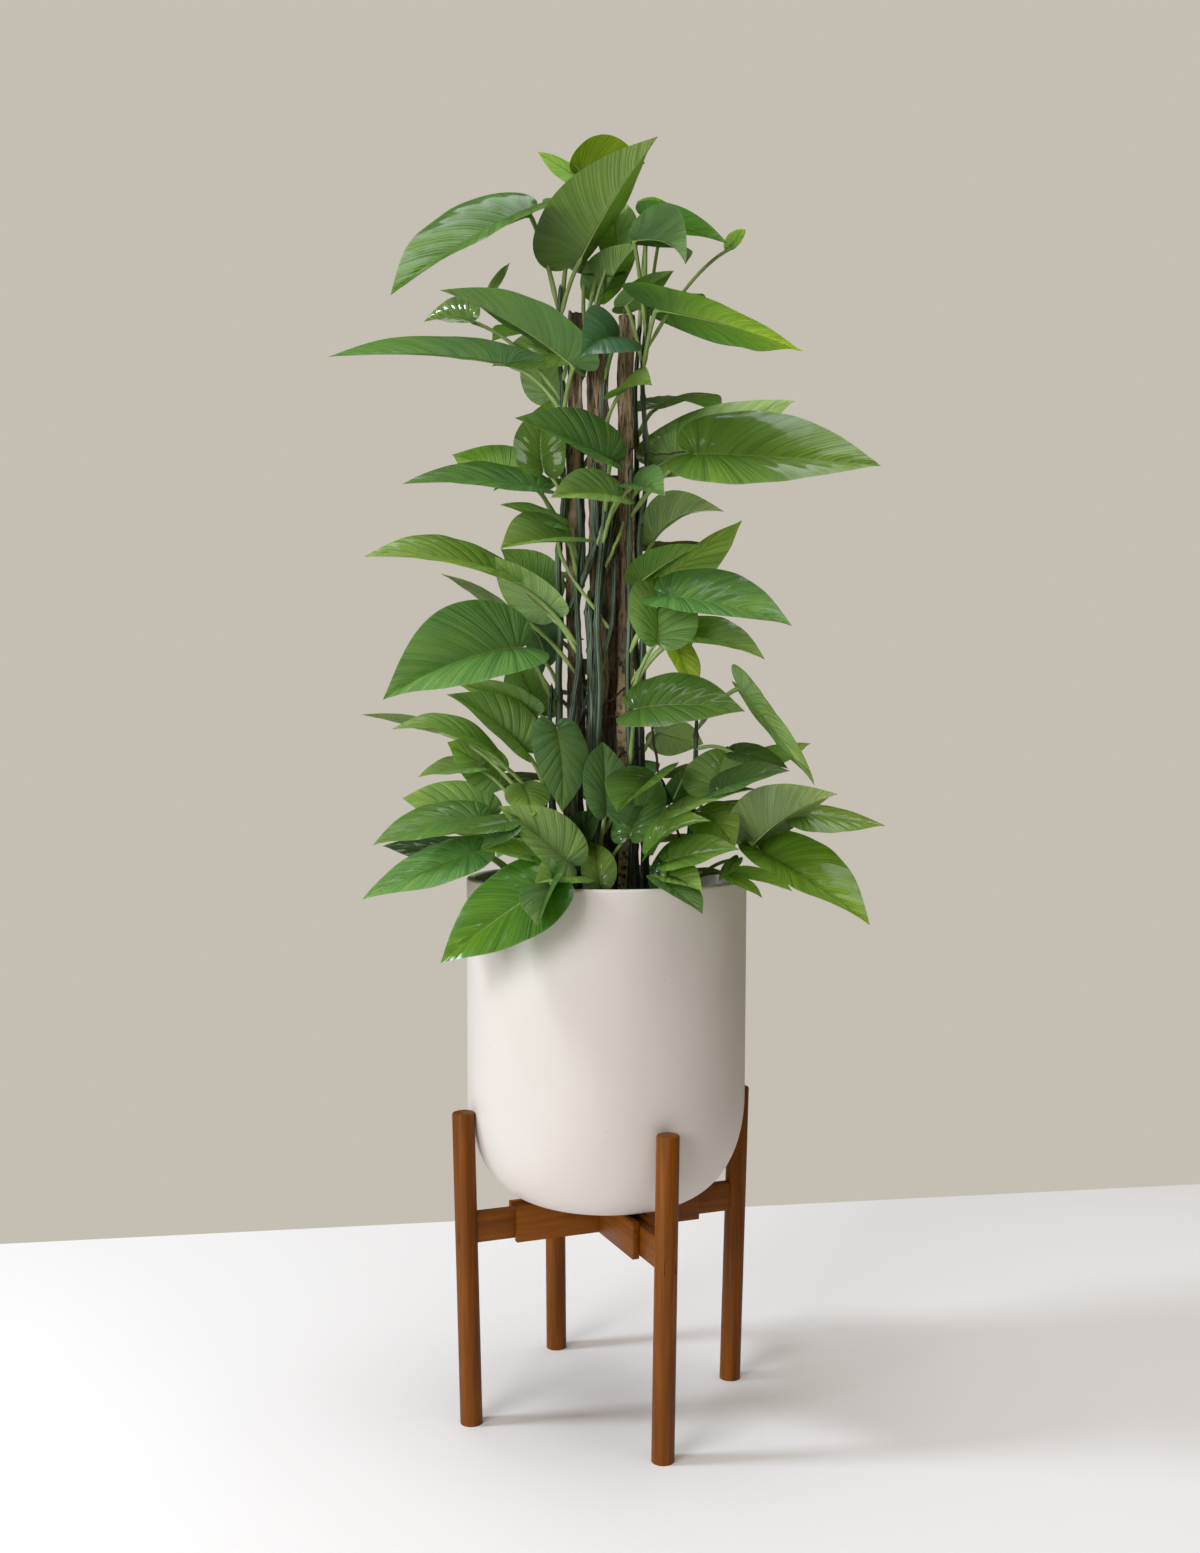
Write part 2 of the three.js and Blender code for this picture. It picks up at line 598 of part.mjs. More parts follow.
// A three-sided prism along a row of points, drawn to a point at its far end
function stalk(points, radius) {
  const corners = [];
  let normal = new THREE.Vector3(0.3, 0.2, 1);
  points.slice(0, -1).forEach((point, i) => {
    const tangent = points[i + 1].clone().sub(point).normalize();
    if (i > 0) tangent.add(point.clone().sub(points[i - 1]).normalize()).normalize();
    normal = normal.clone().addScaledVector(tangent, -normal.dot(tangent)).normalize();
    const across = new THREE.Vector3().crossVectors(tangent, normal);
    for (let k = 0; k < 3; k += 1) {
      const angle = (k / 3) * 2 * Math.PI;
      const corner = point.clone().addScaledVector(normal, radius * Math.cos(angle));
      corners.push(corner.addScaledVector(across, radius * Math.sin(angle)));
    }
  });
  const apex = corners.length;
  corners.push(points[points.length - 1]);
  const index = [0, 2, 1];
  for (let ring = 0; ring < apex; ring += 3) {
    for (let k = 0; k < 3; k += 1) {
      const [a, b] = [ring + k, ring + (k + 1) % 3];
      if (ring + 3 === apex) index.push(a, b, apex);
      else index.push(a, b, b + 3, a, b + 3, a + 3);
    }
  }
  const geometry = new THREE.BufferGeometry().setFromPoints(corners);
  geometry.setIndex(index);
  return solidOf(geometry);
}

// A leafy stem grows out of a plain hole in the soil, with every petiole and blade fused to it
function stemRoute({ route }) {
  const [x, y] = route[0];
  const points = [[x, y, STEM.foot], [x, y, SOIL.z], ...route];
  return new THREE.CatmullRomCurve3(points.map((p) => new THREE.Vector3(...p)));
}

function stemPieces(stem) {
  const route = stemRoute(stem);
  const stemAt = (z) => {
    let [low, high] = [0, 1];
    for (let i = 0; i < 24; i += 1) {
      const half = (low + high) / 2;
      if (route.getPointAt(half).z < z) low = half;
      else high = half;
    }
    return route.getPointAt(low);
  };
  const steps = Math.max(6, Math.round(route.getLength() / STEM.stepLength));
  const main = rod(route, STEM.radius, STEM.sides, steps);
  const leaves = stem.leaves.map(leafFrame);
  const heights = nodeHeights(leaves, stemAt, route.getPointAt(PETIOLE.highest).z);
  const stalks = leaves.map((leaf, i) => petiole(leaf, stemAt(heights[i])));
  return { main, stalks, blades: leaves.map(blade) };
}

function leafyStem(stem) {
  const { main, stalks, blades } = stemPieces(stem);
  return [...stalks, ...blades].reduce((body, part) => body.add(part), main);
}

function stemHole({ route }) {
  const [x, y] = route[0];
  const above = 40;
  const hole = new THREE.CylinderGeometry(STEM.hole, STEM.hole, HOLE_DEPTH + above, 6);
  hole.rotateX(Math.PI / 2);
  return solidOf(hole.translate(x, y, SOIL.z + (above - HOLE_DEPTH) / 2));
}

// Assembly
const model = new THREE.Group();
const ceramic = material(COLOURS.ceramic, 0.55);
const wood = material(COLOURS.wood, 0.6);
const earth = material(COLOURS.soil, 0.95);
const bark = material(COLOURS.bark, 0.9);
const green = material(COLOURS.leaf, 0.4);

model.add(piece('pot', pot(), ceramic));

for (const [name, azimuth] of Object.entries(ARM_AZIMUTHS)) {
  model.add(turnedTo(piece(`leg_${name}`, leg(), wood), azimuth));
  model.add(turnedTo(piece(`tongue_${name}`, tongue(), wood), azimuth));
}
for (const [bar, azimuth] of [['lower', ARM_AZIMUTHS.right], ['upper', ARM_AZIMUTHS.back]]) {
  for (const side of [1, -1]) {
    const name = `cheek_${bar}_${side > 0 ? 'a' : 'b'}`;
    model.add(turnedTo(piece(name, cheek(side, bar === 'lower'), wood), azimuth));
  }
}

const holes = [...Object.values(SLATS).map(slatHole), ...Object.values(STEMS).map(stemHole)];
model.add(piece('soil', soil(holes), earth));
for (const [name, sizes] of Object.entries(SLATS)) model.add(piece(name, slat(sizes), bark));
for (const [name, stem] of Object.entries(STEMS)) model.add(piece(name, leafyStem(stem), green));

// The origin is under the middle of the whole outline, on the floor
const outline = new THREE.Box3().setFromObject(model, true);
model.position.x = -(outline.min.x + outline.max.x) / 2;
model.position.y = -(outline.min.y + outline.max.y) / 2;

export default model;
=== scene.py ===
# A climbing pothos in a cream planter on a four-legged wooden stand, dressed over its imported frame.
# Metres, +Z up, +Y away from the viewer. Plant sizes are given in millimetres and turned by MM.
import random
from math import cos, hypot, pi, radians, sin

import bmesh
import bpy
from mathutils import Matrix, Vector, noise


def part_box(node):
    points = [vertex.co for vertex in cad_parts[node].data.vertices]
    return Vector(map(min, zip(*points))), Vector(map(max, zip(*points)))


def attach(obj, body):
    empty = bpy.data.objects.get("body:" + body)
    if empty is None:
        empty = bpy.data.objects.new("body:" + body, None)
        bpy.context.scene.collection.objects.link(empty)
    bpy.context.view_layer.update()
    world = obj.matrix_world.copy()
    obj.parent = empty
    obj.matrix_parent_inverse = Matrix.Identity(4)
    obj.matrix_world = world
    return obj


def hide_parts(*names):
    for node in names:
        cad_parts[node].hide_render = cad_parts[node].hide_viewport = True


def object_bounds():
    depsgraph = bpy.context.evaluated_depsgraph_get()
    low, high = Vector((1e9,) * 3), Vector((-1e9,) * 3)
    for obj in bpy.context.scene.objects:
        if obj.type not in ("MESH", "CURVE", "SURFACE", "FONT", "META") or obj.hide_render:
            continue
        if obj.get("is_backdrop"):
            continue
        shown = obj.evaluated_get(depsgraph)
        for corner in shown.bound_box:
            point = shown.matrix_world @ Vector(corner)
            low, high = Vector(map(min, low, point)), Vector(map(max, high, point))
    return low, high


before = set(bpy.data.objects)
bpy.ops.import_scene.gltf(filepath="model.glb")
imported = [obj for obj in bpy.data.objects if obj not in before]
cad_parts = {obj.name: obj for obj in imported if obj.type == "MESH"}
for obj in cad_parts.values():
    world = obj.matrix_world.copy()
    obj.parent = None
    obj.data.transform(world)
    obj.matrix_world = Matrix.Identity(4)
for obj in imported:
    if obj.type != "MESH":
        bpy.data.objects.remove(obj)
CAD_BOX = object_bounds()

MM = 0.001
UP = Vector((0, 0, 1))
POT_LOW, POT_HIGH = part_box("pot")
POT_AXIS = Vector(((POT_LOW.x + POT_HIGH.x) / 2, (POT_LOW.y + POT_HIGH.y) / 2, 0))

# The camera that took the photograph, seen from the planter's axis on the floor
PHOTO = dict(height=1553, focal=1515, sensor=36.0)
EYE = (6, -1383, 612)
YAW, PITCH, ROLL = radians(-0.51), radians(1.54), radians(0.16)

# The planter and its soil
POT = dict(
    radius=127.5, waist=126.9, base=58, base_z=192.3, corner_top=290, rim_z=484, wall=7, power=2.2,
    skin=0.15, foot_edge=4, lip_rise=0.7, corner_steps=26, lip_steps=10, segments=144,
)
SOIL = dict(
    z=452, relief=2.5, edge_fall=4, gap=1.0, depth=60, rings=46, segments=120,
    bits=420, bit_sizes=(1.2, 3.4),
)

# The stand's arms: the azimuth of each, and the bars along them
ARMS = {"front": -67.4, "right": 22.6, "back": 112.6, "left": 202.6}
BARS = {"lower": "right", "upper": "back"}

# Stems, petioles and blades
STEM = dict(
    radius=3.3, tip=1.6, swelling=0.9, joint_every=34, foot=400, sides=10, steps=24,
    wander=3.2, still_below=0.47, free_above=0.52,
)
PETIOLE = dict(
    radius=2.05, sides=8, steps=14,
    foot=0.4, foot_end=0.16, sheath=2.8, sheath_end=0.35,
    knuckle=2.4, knuckle_start=0.86, knuckle_end=0.97,
    offset=1.2, slope=0.7, fall=12, spacing=8, lowest=12, highest=0.97, arch=0.22, drop=1.5,
    rib=0.9, rib_points=(0.05, 0.1, 0.2, 0.32, 0.46, 0.6, 0.74, 0.86),
)
BLADE = dict(
    thick=0.8, curl=18, crown=0.05, groove=0.5, groove_reach=2.5, full_size=0.12,
    veins=11, vein_start=2.6, vein_curve=1.25, pleat=0.38, wave=1.6, ruffle=2.3,
    across=20, along=52, crowding=1.4,
)
LOBE = ((0, 0), (-0.2, 0.18), (-0.14, 1), (0.27, 1))
FLANK = ((0.27, 1), (0.62, 1), (0.84, 0.3), (1, 0))
LOBE_SHARE = 0.4

# Leaf colours: at the joint and at the tip, as display values of red, green and blue
# Leaves that lie in shade carry lighter tones, pale above all, to make up for it: partly painted light.
TONES = {
    "deep": ((54, 87, 38), (62, 91, 38)),
    "dark": ((79, 119, 54), (90, 125, 54)),
    "shaded": ((96, 130, 74), (109, 136, 74)),
    "mid": ((102, 141, 63), (116, 148, 63)),
    "light": ((120, 156, 67), (135, 164, 67)),
    "olive": ((117, 156, 85), (133, 163, 85)),
    "bright": ((117, 156, 100), (132, 164, 100)),
    "fresh": ((119, 141, 92), (134, 148, 92)),
    "lime": ((146, 174, 96), (164, 184, 96)),
    "pale": ((156, 184, 122), (174, 194, 122)),
    "yellow": ((126, 146, 36), (152, 164, 50)),
    # The tone below is yellow made much lighter for a leaf that lies in shade: painted light.
    "painted-light yellow": ((206, 220, 110), (222, 228, 120)),
    "tipped": ((104, 148, 78), (170, 186, 62)),
    "glossy": ((112, 156, 88), (136, 172, 98)),
    "vivid": ((74, 126, 34), (112, 150, 36)),
    "lush": ((120, 156, 56), (150, 176, 60)),
    "blue": ((100, 140, 118), (112, 150, 120)),
}

# Climbing stems and shoots: first the route from the soil upwards, then the leaves. Each leaf row
# holds its tone, the joint of blade and petiole, the tip, the half width, the rise in degrees of the
# right and of the left half (looking along the leaf from above), and the midrib's bow upwards and to
# the right.
STEMS = {
    "vine_left": [
        [(-52, -4, 470), (-46, -6, 560), (-44, -8, 760), (-43, -8, 900), (-42, -5, 1015)],
        ("vivid", -69, -10, 1081, -187, -71, 990, 57, 48, 1, 6, 0),
        ("fresh", -27, -1, 1040, 42, -95, 1116, 58, 10, 49, 5, 1),
        ("yellow", -29, 15, 1125, 34, 45, 1146, 27, 64, -26, 5, 1),
        ("pale", -26, 26, 1125, -65, 9, 1143, 17, -2, 4, 1, 1),
        ("bright", -82, -12, 944, -243, -61, 940, 59, 21, 11, 7, 0),
        ("lime", -32, -18, 955, -105, -7, 945, 27, 86, -33, 3, 0),
        ("shaded", -28, -49, 934, -143, -87, 990, 48, 22, 23, 7, -1),
        ("lime", -120, -26, 981, -168, 1, 987, 21, 85, -13, 4, 0),
        ("lime", -105, -11, 1012, -89, -1, 1040, 8, -11, 27, 1, 0),
        ("pale", -55, 26, 923, -67, -15, 962, 21, 8, 10, 3, 2),
        ("light", -58, -11, 851, -52, -6, 916, 25, -18, 54, 6, -1),
        ("pale", -84, 31, 856, -139, -23, 863, 29, -5, 37, 2, 2),
        ("olive", -55, 11, 735, -96, -15, 780, 25, -20, 64, 6, 0),
        ("deep", -56, -2, 679, -85, 12, 722, 21, -65, 100, 8, 1),
        ("bright", -59, -25, 831, -180, -52, 832, 44, 42, -7, 5, 0),
        ("pale", -62, 6, 634, -82, -35, 684, 25, 1, 9, 2, 2),
    ],
    "vine_right": [
        [(38, 5, 470), (34, 3, 600), (32, 1, 800), (32, 0, 930), (31, 0, 1000)],
        ("shaded", 22, -31, 1050, 66, -82, 1013, 31, 100, 6, 10, -5),
        ("bright", 33, -4, 1079, 107, -17, 1052, 28, 29, 12, 2, -1),
        ("pale", 53, 21, 1095, 25, 27, 1104, 10, -26, 36, 1, 0),
        ("pale", 110, -7, 1052, 121, -28, 1061, 9, 8, 20, 4, -1),
        ("tipped", 41, -17, 994, 164, -102, 935, 62, 20, -3, 4, 0),
        ("pale", 15, -13, 998, 58, -39, 1021, 19, 16, -1, 3, -1),
        ("pale", 40, 7, 788, 106, 0, 816, 29, 68, 16, 12, 1),
        ("lime", 49, 2, 753, 124, 26, 812, 33, -28, 17, 1, 1),
        ("pale", 44, 5, 617, 90, 32, 605, 20, 54, -60, -1, 1),
    ],
    "vine_front": [
        [(-6, -34, 470), (-8, -27, 560), (-10, -22, 700), (-4, -21, 850), (2, -20, 965)],
        ("blue", 9, -48, 961, -23, -115, 927, 29, 82, -21, 5, 0),
        ("lime", 10, -36, 914, 38, -85, 910, 20, -12, 69, 5, 0),
        ("bright", 23, -47, 833, 49, -92, 815, 20, -4, 72, 3, 0),
        ("glossy", 4, -56, 850, -79, -88, 882, 35, 84, -16, 2, 0),
        ("pale", 10, -56, 820, -48, -97, 813, 26, 73, -15, 4, 0),
        ("bright", -44, -66, 620, -38, -82, 546, 27, 19, -1, 3, -2),
        ("bright", 0, -75, 545, -4, -33, 607, 26, -2, 45, 5, 0),
        ("mid", 42, -67, 577, 9, -138, 549, 33, 26, 36, 1, 0),
        ("olive", 21, -62, 525, 46, -20, 576, 25, 10, 3, 4, 2),
        ("deep", -27, -59, 512, -3, -30, 546, 19, 20, 37, 6, -1),
        ("lime", -5, -82, 483, -13, -54, 519, 16, 34, 5, 5, 0),
    ],
    "vine_mid_left": [
        [(-32, -24, 470), (-30, -20, 560), (-29, -18, 700), (-28, -17, 845)],
        ("pale", -40, -34, 799, -95, -46, 815, 21, 43, -15, 2, 0),
        ("pale", -33, -39, 784, -90, -105, 769, 33, 63, 3, 3, 0),
        ("lime", -90, -38, 751, -208, -87, 764, 45, 46, -4, 8, 0),
        ("pale", -51, -18, 721, -99, -50, 769, 27, -15, 31, -1, 2),
        ("fresh", -90, -4, 724, -149, -23, 757, 12, -6, 28, 2, 0),
    ],
    "vine_mid_right": [
        [(22, -26, 470), (20, -22, 560), (19, -19, 700), (19, -18, 850)],
        ("pale", 50, 2, 860, 174, 33, 923, 51, -19, 47, 3, 0),
        ("light", 75, -36, 861, 234, -80, 843, 57, -26, 62, 2, 0),
        ("mid", 27, -43, 747, 82, -66, 777, 24, 37, 13, 3, 0),
        ("pale", 43, -63, 693, 40, -18, 757, 36, 14, 51, 5, 2),
        ("glossy", 49, -60, 733, 157, -98, 705, 41, -9, 57, 5, 0),
        ("pale", 62, -31, 700, 138, -58, 679, 30, 0, 55, 5, 0),
        # This leaf lies in shade and carries the lightened yellow tone: painted light.
        ("painted-light yellow", 57, -37, 695, 75, -54, 646, 19, 18, 28, 3, 0),
        ("mid", 23, -74, 635, 117, -104, 633, 35, -24, 63, 5, -1),
    ],
    "shoot_left": [
        [(-68, -26, 470), (-60, -26, 540), (-54, -26, 610), (-52, -24, 655)],
        ("glossy", -74, -57, 689, -190, -98, 642, 50, 88, -17, 8, 0),
        ("pale", -67, -20, 633, -134, -34, 659, 26, -21, 36, 3, 0),
        ("pale", -71, -47, 598, -141, -51, 648, 32, 69, -6, 5, 0),
        ("pale", -97, -44, 589, -186, -77, 617, 35, 41, 2, 13, -1),
        ("fresh", -147, -12, 615, -218, -40, 630, 12, -6, 42, 2, 0),
        ("pale", -114, -19, 583, -169, -31, 575, 20, 47, -2, 2, 0),
        ("pale", -96, -1, 579, -142, -35, 606, 25, 69, -75, -1, 1),
        ("pale", -104, -17, 540, -183, -32, 556, 29, 61, -47, 3, 0),
        ("olive", -108, -59, 541, -199, -95, 518, 35, 34, -5, 4, 0),
        ("deep", -111, -27, 508, -200, -36, 513, 31, 29, -15, 0, 0),
        ("bright", -112, -71, 512, -208, -96, 472, 36, 31, -12, 2, 0),
    ],
    "shoot_front": [
        [(-38, -72, 462), (-42, -74, 485), (-46, -74, 505)],
        ("vivid", -45, -128, 490, -136, -142, 425, 40, 58, -30, 2, 0),
        ("shaded", -44, -127, 489, -54, -185, 461, 24, 6, 64, 3, 0),
        ("pale", -26, -97, 492, -58, -148, 492, 22, 61, 1, 1, 0),
        ("pale", -31, -92, 502, -92, -97, 552, 30, 81, -17, 2, 0),
        ("bright", -76, -109, 536, -106, -116, 515, 13, 42, -16, 1, 0),
        ("mid", -80, -105, 539, -132, -116, 529, 19, 33, -8, 1, 0),
        ("pale", -52, -92, 506, -104, -118, 516, 21, 42, -5, 2, 0),
        ("lime", -73, -48, 569, -62, -97, 544, 20, -9, 10, 0, -1),
    ],
    "shoot_right": [
        [(70, -22, 466), (74, -26, 520), (78, -24, 580), (82, -18, 625)],
        ("light", 37, -101, 513, 88, -119, 541, 22, 0, 67, 8, 0),
        ("pale", 55, -82, 544, 128, -89, 567, 27, 2, 28, 4, 0),
        ("pale", 91, -81, 565, 109, -14, 603, 30, 21, 13, 5, 2),
        ("shaded", 95, -86, 566, 155, -104, 583, 23, -6, 51, 2, 0),
        ("shaded", 111, -51, 598, 158, -64, 584, 18, -14, 42, 2, 0),
        ("pale", 130, -21, 593, 184, -15, 606, 20, -25, 24, 0, 0),
        ("pale", 118, -19, 657, 181, -65, 569, 42, 48, -25, 2, 0),
        ("lime", 161, -52, 546, 245, -53, 534, 30, -18, 25, 1, 0),
        ("fresh", 126, -70, 518, 192, -125, 564, 37, 60, 7, 7, 0),
        ("lush", 135, -62, 511, 220, -124, 455, 42, 12, 44, 2, 0),
        ("light", 51, -107, 506, 111, -127, 518, 23, -12, 59, 2, 0),
        ("lime", 47, -102, 493, 79, -145, 485, 20, 10, 50, 2, 0),
        ("shaded", 46, -124, 491, 78, -168, 469, 21, 25, 18, 1, 0),
        ("pale", 106, -67, 491, 135, -81, 473, 13, 3, 21, 1, 0),
        ("pale", 111, -51, 491, 160, -84, 479, 21, 14, 27, 2, 0),
        ("lime", 114, -70, 506, 97, -76, 487, 9, 26, -8, 1, -1),
        ("dark", 58, -48, 554, 78, -23, 585, 16, 10, 12, 3, 1),
        ("lime", 84, -62, 546, 109, -101, 516, 21, -40, 50, 4, -1),
        ("deep", 50, -81, 483, 63, -54, 524, 18, 29, 1, 4, 1),
    ],
    "vine_back_left": [
        [(-26, 30, 470), (-26, 26, 620), (-25, 24, 800), (-24, 22, 985)],
        ("mid", -22, 30, 1084, -48, 105, 1130, 34, 14, 8, 8, 0),
        ("pale", -7, 35, 1018, 28, -6, 1056, 27, 35, 29, 5, 0),
        ("pale", 8, 22, 1062, -10, 20, 1111, 20, -57, 84, 6, 0),
        ("bright", -10, 28, 1040, -19, 110, 1060, 30, 6, 12, 10, 0),
        ("mid", -45, 38, 976, -115, 118, 1000, 38, 12, 6, 12, 0),
        ("bright", -6, 35, 984, -9, 125, 1000, 32, 8, 14, 10, 0),
        ("mid", -40, 28, 874, -80, 115, 895, 34, 16, 4, 8, 0),
        ("fresh", -9, 35, 883, -20, 130, 900, 32, 10, 8, 12, 0),
        ("mid", -44, 30, 847, -112, 100, 850, 28, 6, -6, 8, 0),
        ("bright", -44, 40, 760, -92, 122, 747, 34, 12, 12, 10, 0),
        ("mid", -46, 40, 704, -136, 120, 690, 40, 10, 6, 12, 0),
        ("deep", -7, 35, 681, -5, 125, 660, 30, 12, 8, 8, 0),
        ("mid", -49, 28, 651, -110, 100, 632, 32, 8, 10, 10, 0),
    ],
    "vine_back_right": [
        [(28, 30, 470), (28, 28, 620), (27, 26, 800), (26, 24, 985)],
        ("bright", 34, 34, 1072, 62, 104, 1094, 30, 10, 14, 8, 0),
        ("mid", 29, 28, 1007, 95, 120, 1025, 38, 6, 14, 12, 0),
        ("mid", 44, 48, 920, 112, 128, 930, 38, 8, 16, 12, 0),
        ("dark", 39, 34, 859, 149, 110, 868, 40, 4, 10, 12, 0),
        ("pale", 0, 38, 776, -6, 125, 762, 30, 12, 10, 10, 0),
        ("fresh", 38, 40, 786, 95, 118, 790, 32, 6, 12, 8, 0),
        ("bright", 40, 32, 737, 123, 120, 730, 38, 8, 10, 12, 0),
        ("mid", 35, 44, 711, 82, 130, 695, 30, 14, 8, 8, 0),
        ("dark", 40, 30, 645, 108, 115, 640, 34, 8, 12, 10, 0),
    ],
    "shoot_back_left": [
        [(-30, 62, 470), (-34, 60, 520), (-38, 56, 560)],
        ("deep", -44, 44, 570, -127, 130, 547, 40, 8, 10, 12, 0),
        ("bright", -45, 68, 515, -112, 150, 488, 36, 12, 8, 10, 0),
        ("dark", -7, 60, 570, -8, 150, 532, 32, 10, 10, 10, 0),
        ("dark", -14, 45, 613, -8, 130, 590, 30, 8, 12, 10, 0),
        ("fresh", -72, 38, 523, -142, 115, 510, 34, 10, 6, 10, 0),
        ("mid", -17, 90, 497, -48, 162, 482, 28, 8, 10, 6, 0),
    ],
    "shoot_back_right": [
        [(34, 60, 470), (38, 58, 520), (42, 54, 560)],
        ("bright", 31, 50, 556, 94, 132, 545, 34, 10, 8, 10, 0),
        ("mid", 46, 70, 512, 98, 150, 492, 32, 8, 12, 10, 0),
        ("mid", 72, 40, 575, 155, 112, 570, 34, 6, 12, 10, 0),
        ("bright", 14, 75, 585, 35, 152, 556, 30, 12, 8, 10, 0),
        ("fresh", 105, 24, 536, 180, 105, 535, 34, 8, 12, 10, 0),
    ],
}

# Older stems, petioles and aerial roots that lie on the slats: kind, radius and route
STRANDS = (
    ("stem", 3.6, [(-33, -9, 725), (-20, -14, 760), (-13, -15, 779), (-11, -14, 800), (-12, -11, 860)]),
    ("stem", 3.2, [(-9, -12, 715), (-5, -15, 740), (-4, -16, 762), (2, -14, 790), (5, -10, 810)]),
    ("stem", 3.8, [
        (-14, -14, 560), (-13, -16, 617), (-14, -16, 655), (-15, -15, 700), (-17, -13, 722),
        (-14, -5, 744),
    ]),
    ("stem", 1.8, [
        (-27, -12, 612), (-22, -15, 634), (-6, -17, 678), (4, -16, 715), (6, -14, 776), (4, -9, 790),
    ]),
    ("petiole", 1.7, [(2, -15, 708), (-14, -19, 730), (-30, -19, 751), (-41, -15, 772), (-45, -9, 788)]),
    ("petiole", 1.9, [(-11, -15, 779), (-5, -19, 796), (1, -19, 812), (6, -13, 826)]),
    ("petiole", 1.7, [(-4, -16, 760), (4, -20, 776), (11, -18, 792), (15, -9, 806)]),
    ("root", 0.8, [(18, -5, 866), (25, -10, 871), (48, -16, 864), (73, -20, 867)]),
    ("root", 0.9, [(-24, -6, 662), (-19, -12, 654), (-6, -18, 637), (0, -18, 630), (17, -6, 629)]),
    ("root", 0.8, [(17, -5, 656), (12, -10, 652), (2, -18, 643), (-8, -8, 634)]),
    ("root", 0.9, [(10, -6, 592), (17, -9, 597), (32, 2, 602)]),
    ("root", 1.2, [
        (34, 3, 650), (39, -10, 628), (43, -14, 604), (49, -16, 575), (58, -19, 545), (72, -25, 500),
    ]),
    ("root", 0.7, [(-34, -4, 905), (-27, -8, 893), (-20, -9, 884), (-10, -8, 880)]),
    ("root", 0.8, [(-30, -5, 575), (-20, -9, 566), (-8, -9, 560), (8, -8, 566), (20, -6, 560)]),
)
# Sway, unevenness and number of sides of each kind, in the order of the stalks' finishes
STRAND_KINDS = {"petiole": (0.7, 0.25, 8), "stem": (0.7, 0.28, 12), "root": (2.4, 0.25, 8)}
STRAND_STEPS = 14

# Rough wooden slats that the plant climbs: centre x and y, width, thickness and top, and how much
# tan crust covers the foot
SLATS = {
    "slat_left": ((-31, 0, 13, 10, 997), 0.06),
    "slat_centre": ((-8, -2, 20, 11, 990), 0.06),
    "slat_right": ((17, 0, 15, 10, 995), 0.8),
    "slat_back": ((2, 15.5, 26, 8, 850), 0.06),
}
SLAT = dict(foot=397, sides=36, rows=200, squareness=0.4, clean_above_soil=8, rough_after=20)

# The angle above which a board's edge is eased, and the one under which it looks round
SHARP, ROUND = radians(50), radians(35)

# The floor's near and far edge, half width and turn, so that it ends as the photograph's does
FLOOR = dict(near=-1.6, far=0.534, half=2.0, turn=radians(10))

# Lamps: place, point aimed at, sides, power and colour
LAMPS = {
    "low light from the left": (
        (-2.94, -0.46, 2.68), (0, 0, 0.25), (0.6, 0.6), 68, (0.803, 0.903, 1.0)
    ),
    "wide front light": ((-1.68, -2.4, 1.12), (0, 0, 0.5), (1.4, 1.4), 49, (0.968, 0.973, 1.0)),
    "overhead": ((0, 0, 3.2), (0, 0, 0.5), (2.5, 2.5), 69, (0.955, 0.966, 1.0)),
}

# Display colours of everything but the leaf tones
COLOURS = {
    "midrib": (158, 182, 98),
    "side vein": (132, 164, 82),
    "blade margin": (160, 186, 116),
    # painted shade for the low parts of stems and roots
    "painted shade low on stems": (16, 22, 16),
    "dark fibre": (58, 46, 37),
    "pale fibre": (196, 166, 132),
    "warm bark": (140, 110, 82),
    "bark crack": (34, 25, 20),
    "shaded bark": (20, 16, 14),
    "tan crust": (206, 182, 140),
    "dark grain": (76, 37, 1),
    "light grain": (150, 85, 3),
    "clouded grain": (96, 50, 2),
    "cream": (218, 210, 202),
    "light cream": (225, 218, 211),
    "speck": (180, 164, 146),
    "dark soil": (22, 17, 13),
    "light soil": (74, 56, 42),
    "soil chip": (112, 88, 62),
    "floor": (247, 245, 243),
    "light floor": (249, 247, 245),
    "wall": (197, 190, 179),
    "warm fill": (255, 210, 149),
}

# Faces of a blade: what its tone is multiplied by in dark and in light streaks, how far midrib and
# side veins show, and whether it is glossy
BLADE_FACES = {
    "blade upper face": ((0.68, 0.74, 0.78), (1.28, 1.22, 1.2), 0.75, 0.2, True),
    # The lower face is lighter: undersides are paler, and partly painted light standing in for the front
    # light they miss.
    "blade lower face": ((1.2, 1.28, 1.4), (1.85, 1.82, 2.1), 0.8, 0.24, False),
}
MARGIN_SHOWN = 0.35

# Stalks: dark and light display colour, contrast of the streaks, roughness, and how far painted shade
# darkens them towards the bottom
STALKS = {
    "petiole": ((138, 170, 86), (196, 216, 138), 1.3, 0.4, 0.0),
    "striped stem": ((20, 40, 30), (142, 164, 132), 4.6, 0.4, 0.7),
    "aerial root": ((44, 32, 26), (112, 84, 66), 1.4, 0.8, 0.6),
}


def seat(x, y, z):
    """A place given in millimetres from the planter's axis on the floor."""
    return POT_AXIS + Vector((x, y, z)) * MM


def display(red, green, blue):
    """A display colour as the linear colour that shaders use."""
    parts = [value / 255 for value in (red, green, blue)]
    return tuple(((part + 0.055) / 1.055) ** 2.4 for part in parts) + (1.0,)


def paint(name):
    return display(*COLOURS[name])


def mixed(first, second, share):
    return tuple(a + (b - a) * share for a, b in zip(first, second))


def fade(value, start, end):
    """0 at start and 1 at end, with a smooth turn at both."""
    share = min(1.0, max(0.0, (value - start) / (end - start)))
    return share * share * (3 - 2 * share)


